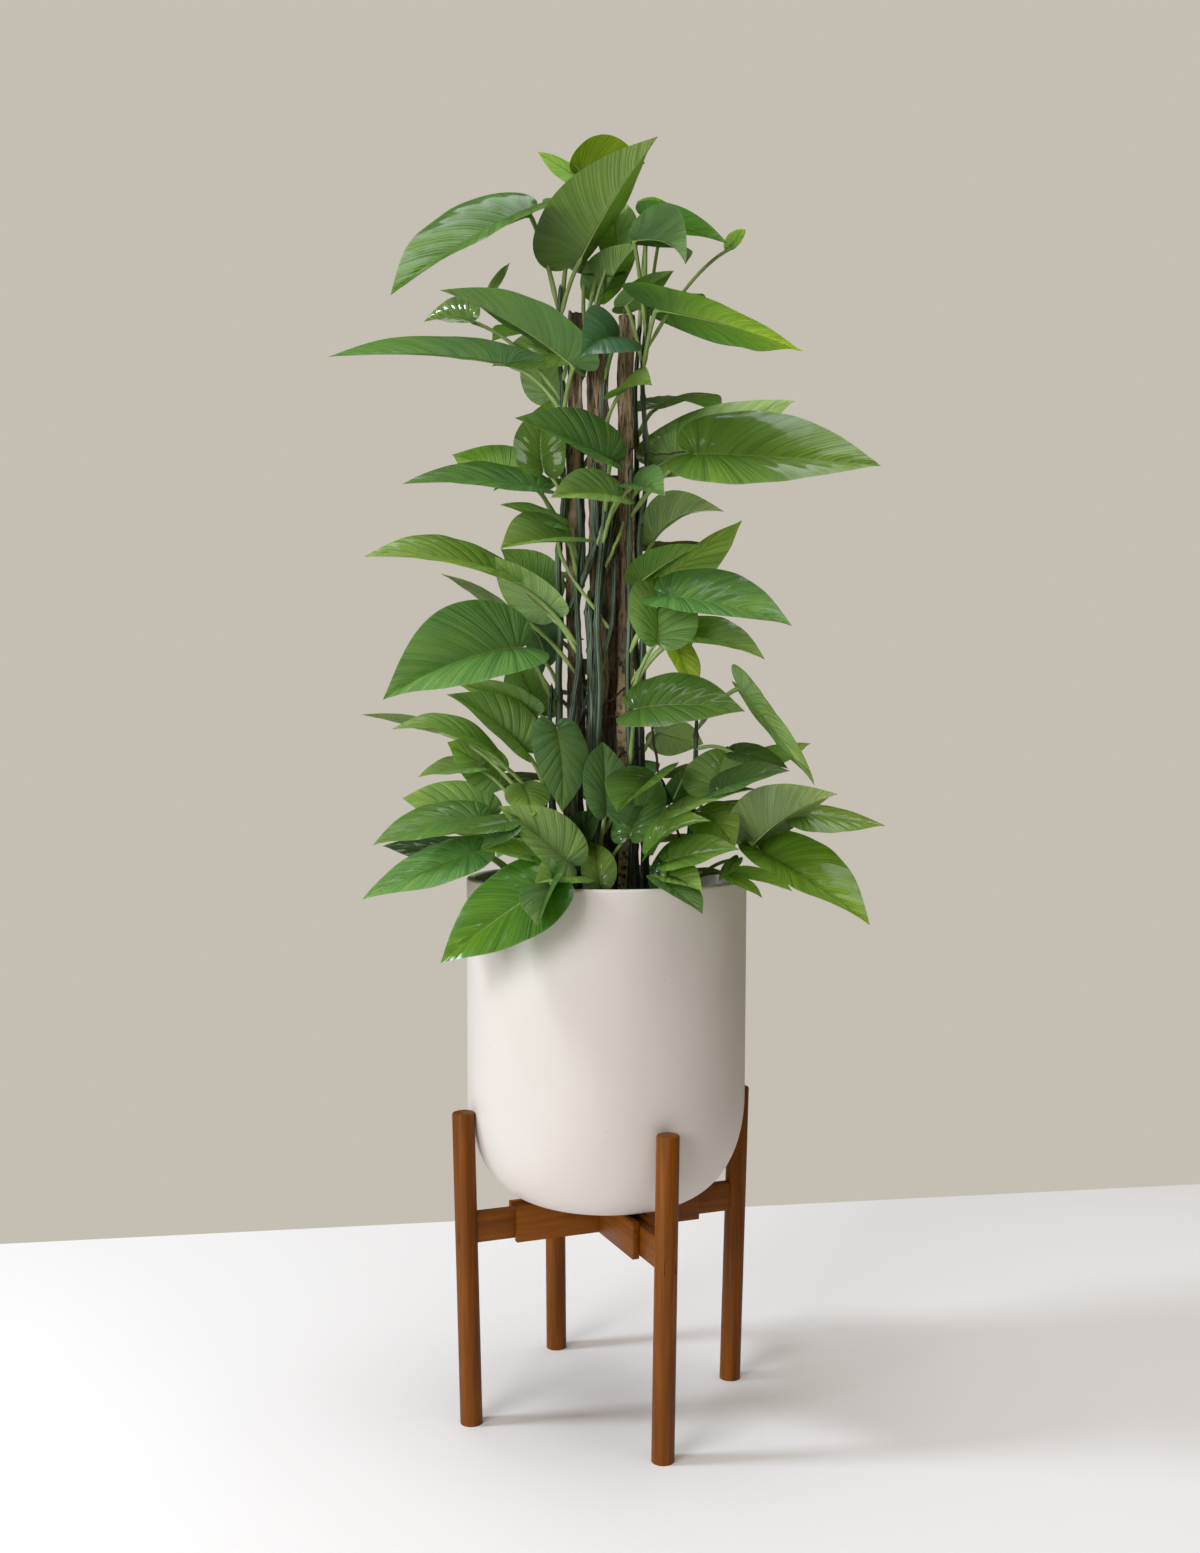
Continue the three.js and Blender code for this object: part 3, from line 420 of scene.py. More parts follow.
# Shader building
def feed(node, inputs):
    """Each input gets a value, or a link from another node's socket."""
    for name, value in inputs.items():
        if isinstance(value, bpy.types.NodeSocket):
            node.id_data.links.new(value, node.inputs[name])
        else:
            node.inputs[name].default_value = value
    return node


def add(tree, kind, inputs, **settings):
    node = tree.nodes.new(kind)
    for name, value in settings.items():
        setattr(node, name, value)
    return feed(node, inputs)


def derived(kind, inputs, output=0, **settings):
    """The output of a new node that stands in the tree of the sockets it is fed from."""
    sockets = [value for value in inputs.values() if isinstance(value, bpy.types.NodeSocket)]
    return add(sockets[0].id_data, kind, inputs, **settings).outputs[output]


def maths(operation, *values):
    return derived("ShaderNodeMath", dict(enumerate(values)), operation=operation)


def colour_mix(share, first, second, blend="MIX"):
    inputs = {0: share, 6: first, 7: second}
    return derived("ShaderNodeMix", inputs, 2, data_type="RGBA", blend_type=blend)


def tinted(colour, factors):
    """A colour with its red, green and blue multiplied by three factors."""
    return colour_mix(1.0, colour, (*factors, 1.0), "MULTIPLY")


def layered(base, layers):
    """Named colours laid over a base one after another, each as far as its mask says."""
    for name, mask in layers.items():
        base = colour_mix(mask, base, paint(name))
    return base


def between(value, low, high, to_low=0.0, to_high=1.0):
    inputs = {0: value, 1: low, 2: high, 3: to_low, 4: to_high}
    return derived("ShaderNodeMapRange", inputs, interpolation_type="SMOOTHSTEP")


def clouds(place, scale, detail=2.0):
    inputs = {"Vector": place, "Scale": scale, "Detail": detail}
    return derived("ShaderNodeTexNoise", inputs, "Fac")


def bump(height, distance, strength=1.0):
    inputs = {"Height": height, "Distance": distance, "Strength": strength}
    return derived("ShaderNodeBump", inputs)


def height_above_floor(place):
    return derived("ShaderNodeSeparateXYZ", {"Vector": place}, 2)


def attribute(tree, name, output):
    return add(tree, "ShaderNodeAttribute", {}, attribute_name=name).outputs[output]


def object_place(tree, turn=0.0):
    """Object coordinates, turned about Z so that X runs along a bar."""
    place = add(tree, "ShaderNodeTexCoord", {}).outputs["Object"]
    return derived("ShaderNodeMapping", {"Vector": place, "Rotation": (0, 0, -turn)})


def own_place(tree):
    """A piece's own map, and the same moved on by its variety so that no two pieces are alike."""
    own_map = add(tree, "ShaderNodeUVMap", {}, uv_map="blade").outputs[0]
    inputs = {0: own_map, 1: (1.0, 1.0, 0.0), 2: attribute(tree, "variety", "Fac")}
    return own_map, derived("ShaderNodeVectorMath", inputs, operation="MULTIPLY_ADD")


def shader_group(name, inputs, outputs):
    """A node group with named sockets, the sockets it is given and the node they end in."""
    tree = bpy.data.node_groups.new(name, "ShaderNodeTree")
    for label, value in inputs.items():
        kind = "NodeSocketFloat" if isinstance(value, float) else "NodeSocketVector"
        tree.interface.new_socket(label, in_out="INPUT", socket_type=kind).default_value = value
    for label in outputs:
        tree.interface.new_socket(label, in_out="OUTPUT", socket_type="NodeSocketFloat")
    return tree, tree.nodes.new("NodeGroupInput").outputs, tree.nodes.new("NodeGroupOutput")


def grain_group():
    """Streaks that run along one direction of the given vector, with finer ones among them."""
    inputs = {"Vector": (0, 0, 0), "Fineness": (1, 1, 1), "Contrast": 1.0}
    tree, given, made = shader_group("streaked grain", inputs, ["Shade", "Fine"])
    factors = {0: given["Vector"], 1: given["Fineness"]}
    vector = derived("ShaderNodeVectorMath", factors, operation="MULTIPLY")
    centred = maths("SUBTRACT", clouds(vector, 1.0, 4.0), 0.5)
    shade = maths("ADD", maths("MULTIPLY", centred, given["Contrast"]), 0.5)
    held = derived("ShaderNodeClamp", {"Value": shade})
    feed(made, {"Shade": held, "Fine": clouds(vector, 4.3, 5.0)})
    return tree


def vein_group():
    """Midrib, side veins, fine veins and margin of a blade, from its own map."""
    inputs, outputs = {"Map": (0, 0, 0), "Veins": 9.0}, ["Midrib", "Side", "Fine", "Margin"]
    tree, given, made = shader_group("blade veins", inputs, outputs)
    split = add(tree, "ShaderNodeSeparateXYZ", {"Vector": given["Map"]}).outputs
    out = maths("ABSOLUTE", maths("MULTIPLY_ADD", split[0], 2.0, -1.0))
    angle = maths("MULTIPLY", maths("MULTIPLY", split[1], given["Veins"]), 2 * pi)
    masks = {
        "Midrib": between(out, 0.085, 0.03),
        "Side": between(maths("COSINE", angle), 0.8, 1.0),
        "Fine": maths("COSINE", maths("MULTIPLY", angle, 5.0)),
        "Margin": between(out, 0.965, 1.0),
    }
    feed(made, masks)
    return tree


GRAIN = grain_group()
VEINS = vein_group()


def grain(vector, fineness, contrast):
    inputs = {"Vector": vector, "Fineness": fineness, "Contrast": contrast}
    return add(vector.id_data, "ShaderNodeGroup", inputs, node_tree=GRAIN).outputs


# Materials
def new_material(name):
    material = bpy.data.materials.new(name)
    material.use_nodes = True
    return material, material.node_tree, material.node_tree.nodes["Principled BSDF"]


def leaf_material(name, dark, light, rib_shown, veins_shown, glossy):
    """A blade's face, streaked along its veins: glossy above, duller below and paler there, partly with
    painted light.
    """
    material, tree, shader = new_material(name)
    tone, place = attribute(tree, "tone", "Color"), object_place(tree)
    own_map, shifted = own_place(tree)
    inputs = {"Map": own_map, "Veins": BLADE["veins"]}
    veins = add(tree, "ShaderNodeGroup", inputs, node_tree=VEINS).outputs
    streaks = grain(shifted, (1.3, 34.0, 9.0), 2.7)
    patches = clouds(place, 34.0)
    base = colour_mix(streaks["Shade"], tinted(tone, dark), tinted(tone, light))
    worn = tinted(base, (1.18, 1.12, 0.8))
    base = colour_mix(between(patches, 0.45, 0.7, 0.0, 0.7), base, worn)
    layers = {
        "side vein": maths("MULTIPLY", veins["Side"], veins_shown),
        "midrib": maths("MULTIPLY", veins["Midrib"], rib_shown),
        "blade margin": maths("MULTIPLY", veins["Margin"], MARGIN_SHOWN),
    }
    height = maths("MULTIPLY", veins["Fine"], 0.2)
    relief = ((clouds(place, 900.0), 0.35), (streaks["Fine"], 0.8), (veins["Side"], -0.9))
    for part, weight in relief:
        height = maths("MULTIPLY_ADD", part, weight, height)
    look = {"Base Color": layered(base, layers), "Normal": bump(height, 0.0009), "Roughness": 0.6}
    if glossy:
        look |= {
            "Roughness": between(streaks["Fine"], 0.3, 0.7, 0.28, 0.44),
            "Specular IOR Level": 0.2,
            "Coat Roughness": 0.13,
            "Coat Weight": between(patches, 0.42, 0.62, 0.85, 0.3),
        }
    feed(shader, look)
    glow = add(tree, "ShaderNodeBsdfTranslucent", {"Color": tinted(tone, (1.9, 2.0, 1.0))})
    both = {0: 0.42, 1: shader.outputs[0], 2: glow.outputs[0]}
    feed(tree.nodes["Material Output"], {"Surface": derived("ShaderNodeMixShader", both)})
    return material


def stalk_material(name):
    """Petioles, stems and roots: fine streaks along their length, darkened towards the bottom by painted
    shade.
    """
    dark, light, contrast, roughness, low_shade = STALKS[name]
    material, tree, shader = new_material(name)
    streaks = grain(own_place(tree)[1], (13.0, 5.0, 9.0), contrast)
    base = colour_mix(streaks["Shade"], display(*dark), display(*light))
    tint = between(attribute(tree, "variety", "Fac"), 0.0, 1.0, 0.0, 0.35)
    base = colour_mix(tint, base, display(*dark))
    # Painted shade: stems and roots grow darker towards the bottom, where the plant is shadowed.
    if low_shade:
        height = height_above_floor(object_place(tree))
        base = layered(base, {"painted shade low on stems": between(height, 0.74, 0.54, 0.0, low_shade)})
    normal = bump(streaks["Shade"], 0.0012)
    feed(shader, {"Base Color": base, "Roughness": roughness, "Normal": normal})
    return material


def bark_material(name, crust):
    """Weathered wood: upright fibres and cracks, painted shade near the soil, with tan crust at its
    foot.
    """
    material, tree, shader = new_material(name)
    place = object_place(tree)
    fibres, crumbs = grain(place, (230.0, 230.0, 17.0), 3.2), clouds(place, 220.0, 8.0)
    height = height_above_floor(place)
    dusty = maths("MULTIPLY", between(height, 0.71, 0.64), between(crumbs, 0.36, 0.52))
    layers = {
        "warm bark": maths("MULTIPLY", between(clouds(place, 26.0, 6.0), 0.45, 0.65), 0.4),
        "bark crack": between(fibres["Fine"], 0.47, 0.37, 0.0, 0.85),
        "shaded bark": between(height, 0.82, 0.5, 0.0, 0.85),
        "tan crust": maths("MULTIPLY", dusty, crust),
    }
    base = colour_mix(fibres["Shade"], paint("dark fibre"), paint("pale fibre"))
    normal = bump(maths("ADD", fibres["Fine"], crumbs), 0.002)
    feed(shader, {"Base Color": layered(base, layers), "Roughness": 0.86, "Normal": normal})
    return material


def wood_material(name, azimuth=None):
    """Walnut-stained wood with its grain upright, or along a bar at the given azimuth."""
    material, tree, shader = new_material(name)
    place = object_place(tree, radians(azimuth or 0))
    fineness = (300.0, 300.0, 9.0) if azimuth is None else (9.0, 260.0, 260.0)
    streaks = grain(place, fineness, 1.3)
    base = colour_mix(streaks["Shade"], paint("dark grain"), paint("light grain"))
    layers = {"clouded grain": between(clouds(place, 14.0), 0.35, 0.75, 0.0, 0.35)}
    look = {
        "Base Color": layered(base, layers),
        "Roughness": between(streaks["Fine"], 0.3, 0.7, 0.4, 0.55),
        "Specular IOR Level": 0.2,
        "Normal": bump(streaks["Fine"], 0.0003, 0.5),
    }
    feed(shader, look)
    return material


def ceramic_material():
    """Matte cream glaze with a faint unevenness."""
    material, tree, shader = new_material("cream ceramic")
    place = object_place(tree)
    base = colour_mix(clouds(place, 9.0, 3.0), paint("cream"), paint("light cream"))
    base = layered(base, {"speck": between(clouds(place, 240.0), 0.74, 0.8, 0.0, 0.5)})
    normal = bump(clouds(place, 700.0, 3.0), 0.0002, 0.35)
    feed(shader, {"Base Color": base, "Roughness": 0.55, "Normal": normal})
    return material


def soil_material():
    material, tree, shader = new_material("potting soil")
    place = object_place(tree)
    crumbs = clouds(place, 190.0, 8.0)
    bits = derived("ShaderNodeTexVoronoi", {"Vector": place, "Scale": 160.0}, "Distance")
    base = colour_mix(crumbs, paint("dark soil"), paint("light soil"))
    base = layered(base, {"soil chip": between(bits, 0.16, 0.08, 0.0, 0.5)})
    feed(shader, {"Base Color": base, "Roughness": 0.95, "Normal": bump(crumbs, 0.006)})
    return material


# Piece building
class Piece:
    """A mesh under construction, with its map, its tone and its variety on every point."""

    def __init__(self):
        self.mesh = bmesh.new()
        self.map = self.mesh.loops.layers.uv.new("blade")
        self.tone = self.mesh.verts.layers.float_color.new("tone")
        self.variety = self.mesh.verts.layers.float.new("variety")

    def sheet(self, across, along, place, slot=0, variety=0.0, tone=None, turned=False):
        """A grid moved to place(u, v), with u and v from 0 to 1."""
        verts = bmesh.ops.create_grid(
            self.mesh, x_segments=across, y_segments=along, size=0.5
        )["verts"]
        faces = {face for vert in verts for face in vert.link_faces}
        for face in faces:
            face.material_index = slot
            face.smooth = True
            for loop in face.loops:
                loop[self.map].uv = (loop.vert.co.x + 0.5, loop.vert.co.y + 0.5)
        for vert in verts:
            u, v = vert.co.x + 0.5, vert.co.y + 0.5
            vert[self.variety] = variety
            vert[self.tone] = tone(v) if tone else (1, 1, 1, 1)
            vert.co = place(u, v)
        if turned:
            bmesh.ops.reverse_faces(self.mesh, faces=list(faces))
        return verts

    def tube(self, path, radii, sides, slot=0, variety=0.0):
        """A round stalk along a path, closed to a point at both ends."""
        last = len(path) - 1
        ways = [path[min(i + 1, last)] - path[max(i - 1, 0)] for i in range(last + 1)]
        tangents, normals = [way.normalized() for way in ways], []
        normal = Vector((0.3, 0.2, 1))
        for tangent in tangents:
            normal = (normal - tangent * normal.dot(tangent)).normalized()
            normals.append(normal)

        def place(u, v):
            i = round(v * last)
            across = tangents[i].cross(normals[i])
            angle = 2 * pi * u
            return path[i] + (normals[i] * cos(angle) + across * sin(angle)) * radii[i]

        verts = self.sheet(sides, last, place, slot, variety)
        weld(self.mesh, verts)

    def finish(self, name, materials, replaced=(), slot="leaf"):
        for edge in self.mesh.edges:
            finishes = {face.material_index for face in edge.link_faces}
            edge.smooth = len(finishes) < 2
        settle(name, self.mesh, materials, replaced)


def weld(mesh, verts, distance=1e-6):
    bmesh.ops.remove_doubles(mesh, verts=verts, dist=distance)


def placed(name, data):
    """A new object in the scene."""
    thing = bpy.data.objects.new(name, data)
    bpy.context.scene.collection.objects.link(thing)
    return thing


def built(name, mesh, materials):
    """The finished mesh as an object with its materials."""
    data = bpy.data.meshes.new(name)
    mesh.to_mesh(data)
    mesh.free()
    for material in materials:
        data.materials.append(material)
    return placed(name, data)


def settle(name, mesh, materials, replaced, body="planter"):
    """The finished mesh as a piece that rides on its body and stands for its CAD nodes."""
    piece = built(name, mesh, materials)
    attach(piece, body)
    if replaced:
        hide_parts(*replaced)


def bezier(points, t):
    s = 1 - t
    weights = (s * s * s, 3 * s * s * t, 3 * s * t * t, t * t * t)
    return tuple(sum(w * p[axis] for w, p in zip(weights, points)) for axis in (0, 1))


def outline_at(t):
    """One side of a blade's outline at share t from the petiole joint to the tip."""
    if t < LOBE_SHARE:
        return bezier(LOBE, t / LOBE_SHARE)
    return bezier(FLANK, (t - LOBE_SHARE) / (1 - LOBE_SHARE))


class Leaf:
    """One blade: where its midrib runs and how its two halves rise from it."""

    def __init__(self, row, number):
        self.tone, bx, by, bz, tx, ty, tz, half_width, right, left, bow, bend = row
        self.base = seat(bx, by, bz)
        chord = seat(tx, ty, tz) - self.base
        self.length = chord.length
        self.along = chord.normalized()
        self.side = self.along.cross(UP).normalized()
        self.up = self.side.cross(self.along)
        self.half_width = half_width * MM
        self.rise = {1: right, -1: left}
        self.bow, self.bend = bow * MM, bend * MM
        self.chance = random.Random(number)
        self.variety = self.chance.random()
        self.size = min(1.0, self.length / BLADE["full_size"])

    def point(self, x, w, hand, lift=0.0):
        """Share x along the midrib, share w of the half width out on one side."""
        swell = 4 * x * (1 - x)
        rise = radians(self.rise[hand] - BLADE["curl"] * w * 0.5)
        out = w * self.half_width
        tilt = rise * fade(w, 0.0, 0.12)
        up = self.bow * swell + out * sin(rise) + lift * cos(tilt)
        side = self.bend * swell + hand * out * cos(rise) - hand * lift * sin(tilt)
        return self.base + self.along * (x * self.length) + self.up * up + self.side * side

    def surface(self, u, v, face):
        """A point of the upper (face 1) or lower (face -1) surface at its own map."""
        hand = 1 if u > 0.5 else -1
        share = abs(2 * u - 1) ** BLADE["crowding"]
        edge_x, edge_w = outline_at(v)
        root_x = v ** BLADE["vein_start"]
        x = root_x + (edge_x - root_x) * share ** BLADE["vein_curve"]
        w = edge_w * share
        open_share = share * (1 - share ** 3)
        pleat = -cos(2 * pi * BLADE["veins"] * v) * fade(share, 0.02, 0.35) * (1 - share ** 5)
        inner = 1 - fade(w * self.half_width, 0.0, BLADE["groove_reach"] * MM)
        groove = -BLADE["groove"] * MM * inner
        crown = BLADE["crown"] * self.half_width * 4 * share * (1 - share) * edge_w
        drift = Vector((x * 2.1 + 7 * self.variety, hand * w * 1.6, 11 * self.variety))
        wave = noise.noise(drift) * BLADE["wave"] * MM * share * self.size
        along_edge = Vector((x * 5.0, 3 * hand + 5 * self.variety, 17 * self.variety))
        wave += noise.noise(along_edge) * BLADE["ruffle"] * MM * w * w * self.size
        ends = fade(v, 0.0, 0.06) * fade(1 - v, 0.0, 0.05)
        relief = BLADE["pleat"] * MM * pleat * self.size + groove + crown + wave
        thick = face * BLADE["thick"] * MM / 2 * (1 - share ** 6)
        return self.point(x, w, hand, (relief + thick * (0.3 + 0.7 * open_share * 2 / 1.06)) * ends)

    def add_to(self, piece):
        joint, tip = (display(*colour) for colour in TONES[self.tone])
        shade = 0.9 + 0.2 * self.chance.random()

        def tone(v):
            return mixed((0, 0, 0, 0), mixed(joint, tip, v * v), shade)[:3] + (1.0,)

        verts = []
        for slot, face in enumerate((1, -1)):
            verts += piece.sheet(
                BLADE["across"], BLADE["along"], lambda u, v: self.surface(u, v, face), slot,
                self.variety, tone, turned=face < 0,
            )
        weld(piece.mesh, verts, 2e-5)


def spline(points, steps):
    """A smooth route through points, steps to a span, as position vectors."""
    held = [points[0] * 2 - points[1], *points, points[-1] * 2 - points[-2]]
    route = []
    for i in range(1, len(held) - 2):
        a, b, c, d = held[i - 1 : i + 3]
        for k in range(steps):
            t = k / steps
            route.append(
                0.5 * (2 * b + (c - a) * t + (2 * a - 5 * b + 4 * c - d) * t ** 2
                       + (3 * b - a - 3 * c + d) * t ** 3)
            )
    return route + [points[-1]]


def at_height(route, z):
    """The point of a rising route at a height."""
    for a, b in zip(route, route[1:]):
        if b.z >= z:
            share = (z - a.z) / (b.z - a.z) if b.z > a.z else 0
            return a.lerp(b, min(1, max(0, share)))
    return route[-1].copy()


def node_heights(leaves, route):
    """Heights at which the petioles leave the stem, kept a node apart from top to foot."""
    lowest = (SOIL["z"] + PETIOLE["lowest"]) * MM
    bottom, top = STEM["foot"] * MM, route[-1].z
    highest = bottom + PETIOLE["highest"] * (top - bottom)
    heights = []
    for leaf in leaves:
        level = at_height(route, leaf.base.z)
        reach = hypot(leaf.base.x - level.x, leaf.base.y - level.y)
        wanted = leaf.base.z - PETIOLE["slope"] * reach - PETIOLE["fall"] * MM
        heights.append(min(highest, max(lowest, wanted)))
    spacing = min(PETIOLE["spacing"] * MM, (highest - lowest) / len(leaves))
    downwards = sorted(range(len(leaves)), key=lambda i: -heights[i])
    ceiling = highest
    for i in downwards:
        heights[i] = min(heights[i], ceiling)
        ceiling = heights[i] - spacing
    floor = lowest
    for i in reversed(downwards):
        heights[i] = max(heights[i], floor)
        floor = heights[i] + spacing
    return heights


def add_petiole(piece, leaf, node):
    """It climbs outwards to just under the joint and runs on as the rib under the blade."""
    under = leaf.point(0.015, 0, 1, -PETIOLE["drop"] * MM)
    outwards = Vector((under.x - node.x, under.y - node.y, 0)).normalized()
    start = node + outwards * PETIOLE["offset"] * MM
    knee = start.lerp(under, 0.5) + UP * PETIOLE["arch"] * (under - start).length
    radius, steps = PETIOLE["radius"], PETIOLE["steps"]
    path, radii = [node.copy()], [0.0]
    for i in range(steps + 1):
        t = i / steps
        path.append(start * (1 - t) ** 2 + knee * 2 * t * (1 - t) + under * t * t)
        sheath = (PETIOLE["sheath"] - radius) * (1 - fade(t, 0.0, PETIOLE["sheath_end"]))
        swelling = fade(t, PETIOLE["knuckle_start"], PETIOLE["knuckle_end"])
        knuckle = (PETIOLE["knuckle"] - radius) * swelling
        foot = PETIOLE["foot"] + (1 - PETIOLE["foot"]) * fade(t, 0.0, PETIOLE["foot_end"])
        radii.append((radius + sheath + knuckle) * MM * (0.7 + 0.3 * leaf.size) * foot)
    rib = PETIOLE["rib"] * MM
    for x in PETIOLE["rib_points"]:
        half_rib = rib * (0.5 + 0.5 * leaf.size) * (1 - x)
        path.append(leaf.point(x, 0, 1, -(rib + half_rib * 0.3)))
        radii.append(half_rib)
    path.append(leaf.point(0.92, 0, 1, -0.8 * MM))
    radii.append(0.0)
    piece.tube(path, radii, PETIOLE["sides"], 0, leaf.variety)


def wandering(route, seed):
    """The route with slight bends to and fro, none at its foot."""
    bent = []
    for place in route:
        free = fade(place.z, STEM["still_below"], STEM["free_above"]) * STEM["wander"] * MM
        drift = Vector((place.z * 14, seed * 3.7, 0.5))
        sway = Vector((noise.noise(drift), noise.noise(drift + UP * 9), 0))
        bent.append(place + sway * 2 * free)
    return bent


def add_stem(piece, route, seed):
    """A climbing stem, a little thicker at its joints and thinner towards its top."""
    length = route[-1].z - route[0].z
    radii = []
    for place in route:
        share = (place.z - route[0].z) / length
        joint = abs((place.z / MM / STEM["joint_every"]) % 1 - 0.5) * 2
        swelling = STEM["swelling"] * fade(joint, 0.75, 1.0)
        radii.append((STEM["radius"] + swelling - (STEM["radius"] - STEM["tip"]) * share ** 3) * MM)
    ends = [route[0] - UP * 0.5 * MM, *route, route[-1] + UP * 5 * MM]
    piece.tube(ends, [0.0, *radii, 0.0], STEM["sides"], 1, random.Random(seed).random())


def add_strand(piece, strand, seed):
    """A stem with its joints, or a root that wavers, lying on the slats."""
    kind, radius, points = strand
    looseness, unevenness, sides = STRAND_KINDS[kind]
    route = spline([seat(*point) for point in points], STRAND_STEPS)
    path, radii = [], []
    for i, place in enumerate(route):
        share = i / (len(route) - 1)
        drift = Vector((share * 9, seed * 5.3, 0.5))
        loose = looseness * 4 * share * (1 - share)
        sway = Vector((noise.noise(drift), 0, noise.noise(drift + UP * 9)))
        path.append(place + sway * loose * MM)
        if kind == "stem":
            joint = abs((place.z / MM / STEM["joint_every"] + seed * 0.37) % 1 - 0.5) * 2
            swelling = fade(joint, 0.8, 1.0)
        else:
            swelling = noise.noise(drift * 3)
        radii.append(radius * (1 + unevenness * swelling) * MM)
    radii[0] = radii[-1] = 0.0
    piece.tube(path, radii, sides, list(STRAND_KINDS).index(kind), (seed * 0.61) % 1)


def plant():
    blade_faces = [leaf_material(name, *look) for name, look in BLADE_FACES.items()]
    stalk_kinds = [stalk_material(name) for name in STALKS]
    number = 0
    for name, (marks, *rows) in STEMS.items():
        x, y, _ = marks[0]
        points = [seat(x, y, STEM["foot"]), seat(x, y, SOIL["z"])]
        points += [seat(*place) for place in marks]
        route = wandering(spline(points, STEM["steps"]), number)
        leaves = [Leaf(row, number + i) for i, row in enumerate(rows)]
        number += len(rows)
        blades, stalks = Piece(), Piece()
        add_stem(stalks, route, number)
        for leaf, height in zip(leaves, node_heights(leaves, route)):
            leaf.add_to(blades)
            add_petiole(stalks, leaf, at_height(route, height))
        blades.finish(f"{name}_blades", blade_faces, [name])
        stalks.finish(f"{name}_stalks", stalk_kinds, [name])
    clinging = Piece()
    for number, strand in enumerate(STRANDS):
        add_strand(clinging, strand, number)
    clinging.finish("stems_and_roots_on_the_slats", stalk_kinds)


# The planter, its soil and the slats
def pot_radius(z, inset):
    top = POT["corner_top"]
    if z >= top:
        share = (z - top) / (POT["rim_z"] - top)
        return POT["waist"] + share * (POT["radius"] - POT["waist"]) - inset
    depth = (top - z) / (top - POT["base_z"] - inset)
    bulge = (1 - min(1, depth) ** POT["power"]) ** (1 / POT["power"])
    return POT["base"] + (POT["waist"] - POT["base"]) * bulge - inset


def pot_side(inset):
    """The planter's curved side from its flat base up to where it runs straight."""
    side = []
    for i in range(POT["corner_steps"] + 1):
        angle = i / POT["corner_steps"] * pi / 2
        z = POT["corner_top"] - (POT["corner_top"] - POT["base_z"] - inset) * cos(angle)
        side.append((pot_radius(z, inset), z))
    return side


def planter():
    """The glazed pot: foot, corner, rim and inside as one profile, spun about its axis."""
    lip, steps = POT["wall"] / 2, POT["lip_steps"]
    rim = []
    for i in range(steps + 1):
        angle = i / steps * pi
        across = POT["radius"] - lip + lip * cos(angle)
        rim.append((across, POT["rim_z"] + lip * POT["lip_rise"] * (sin(angle) - 1)))
    outer, inner = pot_side(POT["skin"]), pot_side(POT["wall"])
    foot = [(0, POT["base_z"]), (POT["base"] - POT["foot_edge"], POT["base_z"])]
    profile = foot + outer + rim + inner[::-1] + [(0, POT["base_z"] + POT["wall"])]
    mesh = bmesh.new()
    verts = [mesh.verts.new(seat(radius, 0, z)) for radius, z in profile]
    edges = [mesh.edges.new(pair) for pair in zip(verts, verts[1:])]
    bmesh.ops.spin(
        mesh, geom=verts + edges, cent=POT_AXIS, axis=UP, angle=2 * pi, steps=POT["segments"],
        use_merge=True,
    )
    weld(mesh, mesh.verts)
    bmesh.ops.recalc_face_normals(mesh, faces=mesh.faces)
    for face in mesh.faces:
        face.smooth = True
    settle("planter_glazed", mesh, [ceramic_material()], ["pot"])


def soil_rise(x, y):
    lumps = sin(x * 0.13 + 1.3) * cos(y * 0.11) + sin((x + y) * 0.31 + 0.4) * 0.5
    edge = (hypot(x, y) / POT["radius"]) ** 4
    crumbs = noise.noise(Vector((x, y, 0)) * 0.35) * 1.6 + noise.noise(Vector((x, y, 5)) * 0.9) * 0.7
    return SOIL["relief"] * lumps - SOIL["edge_fall"] * edge + crumbs


def soil():
    """A crumbly top on a plug of soil, with loose bits of bark lying on it."""
    reach = POT["radius"] - POT["wall"] - SOIL["gap"]
    piece = Piece()

    def place(u, v):
        angle = 2 * pi * u
        if v > 0.98:
            radius, drop = 0.0, SOIL["depth"]
        elif v > 0.93:
            radius, drop = reach - 1, SOIL["depth"]
        else:
            radius, drop = reach * min(1, v / 0.91), 0
        x, y = radius * cos(angle), radius * sin(angle)
        return seat(x, y, SOIL["z"] - drop + (soil_rise(x, y) if drop == 0 else 0))

    verts = piece.sheet(SOIL["segments"], SOIL["rings"], place, turned=True)
    weld(piece.mesh, verts)
    bmesh.ops.recalc_face_normals(piece.mesh, faces=piece.mesh.faces)
    chance = random.Random(5)
    for _ in range(SOIL["bits"]):
        angle, radius = chance.uniform(0, 2 * pi), (reach - 5) * chance.random() ** 0.5
        x, y = radius * cos(angle), radius * sin(angle)
        size = chance.uniform(*SOIL["bit_sizes"]) * MM
        turn = Matrix.Rotation(chance.uniform(0, pi), 4, "Z")
        turn = turn @ Matrix.Rotation(chance.uniform(-0.5, 0.5), 4, "X")
        shape = Matrix.Diagonal((size, size * 0.7, size * 0.45, 1))
        spot = Matrix.Translation(seat(x, y, SOIL["z"] + soil_rise(x, y) + 0.3))
        bmesh.ops.create_icosphere(piece.mesh, subdivisions=1, radius=1, matrix=spot @ turn @ shape)
    piece.finish("soil_crumbly", [soil_material()], ["soil"], "soil")


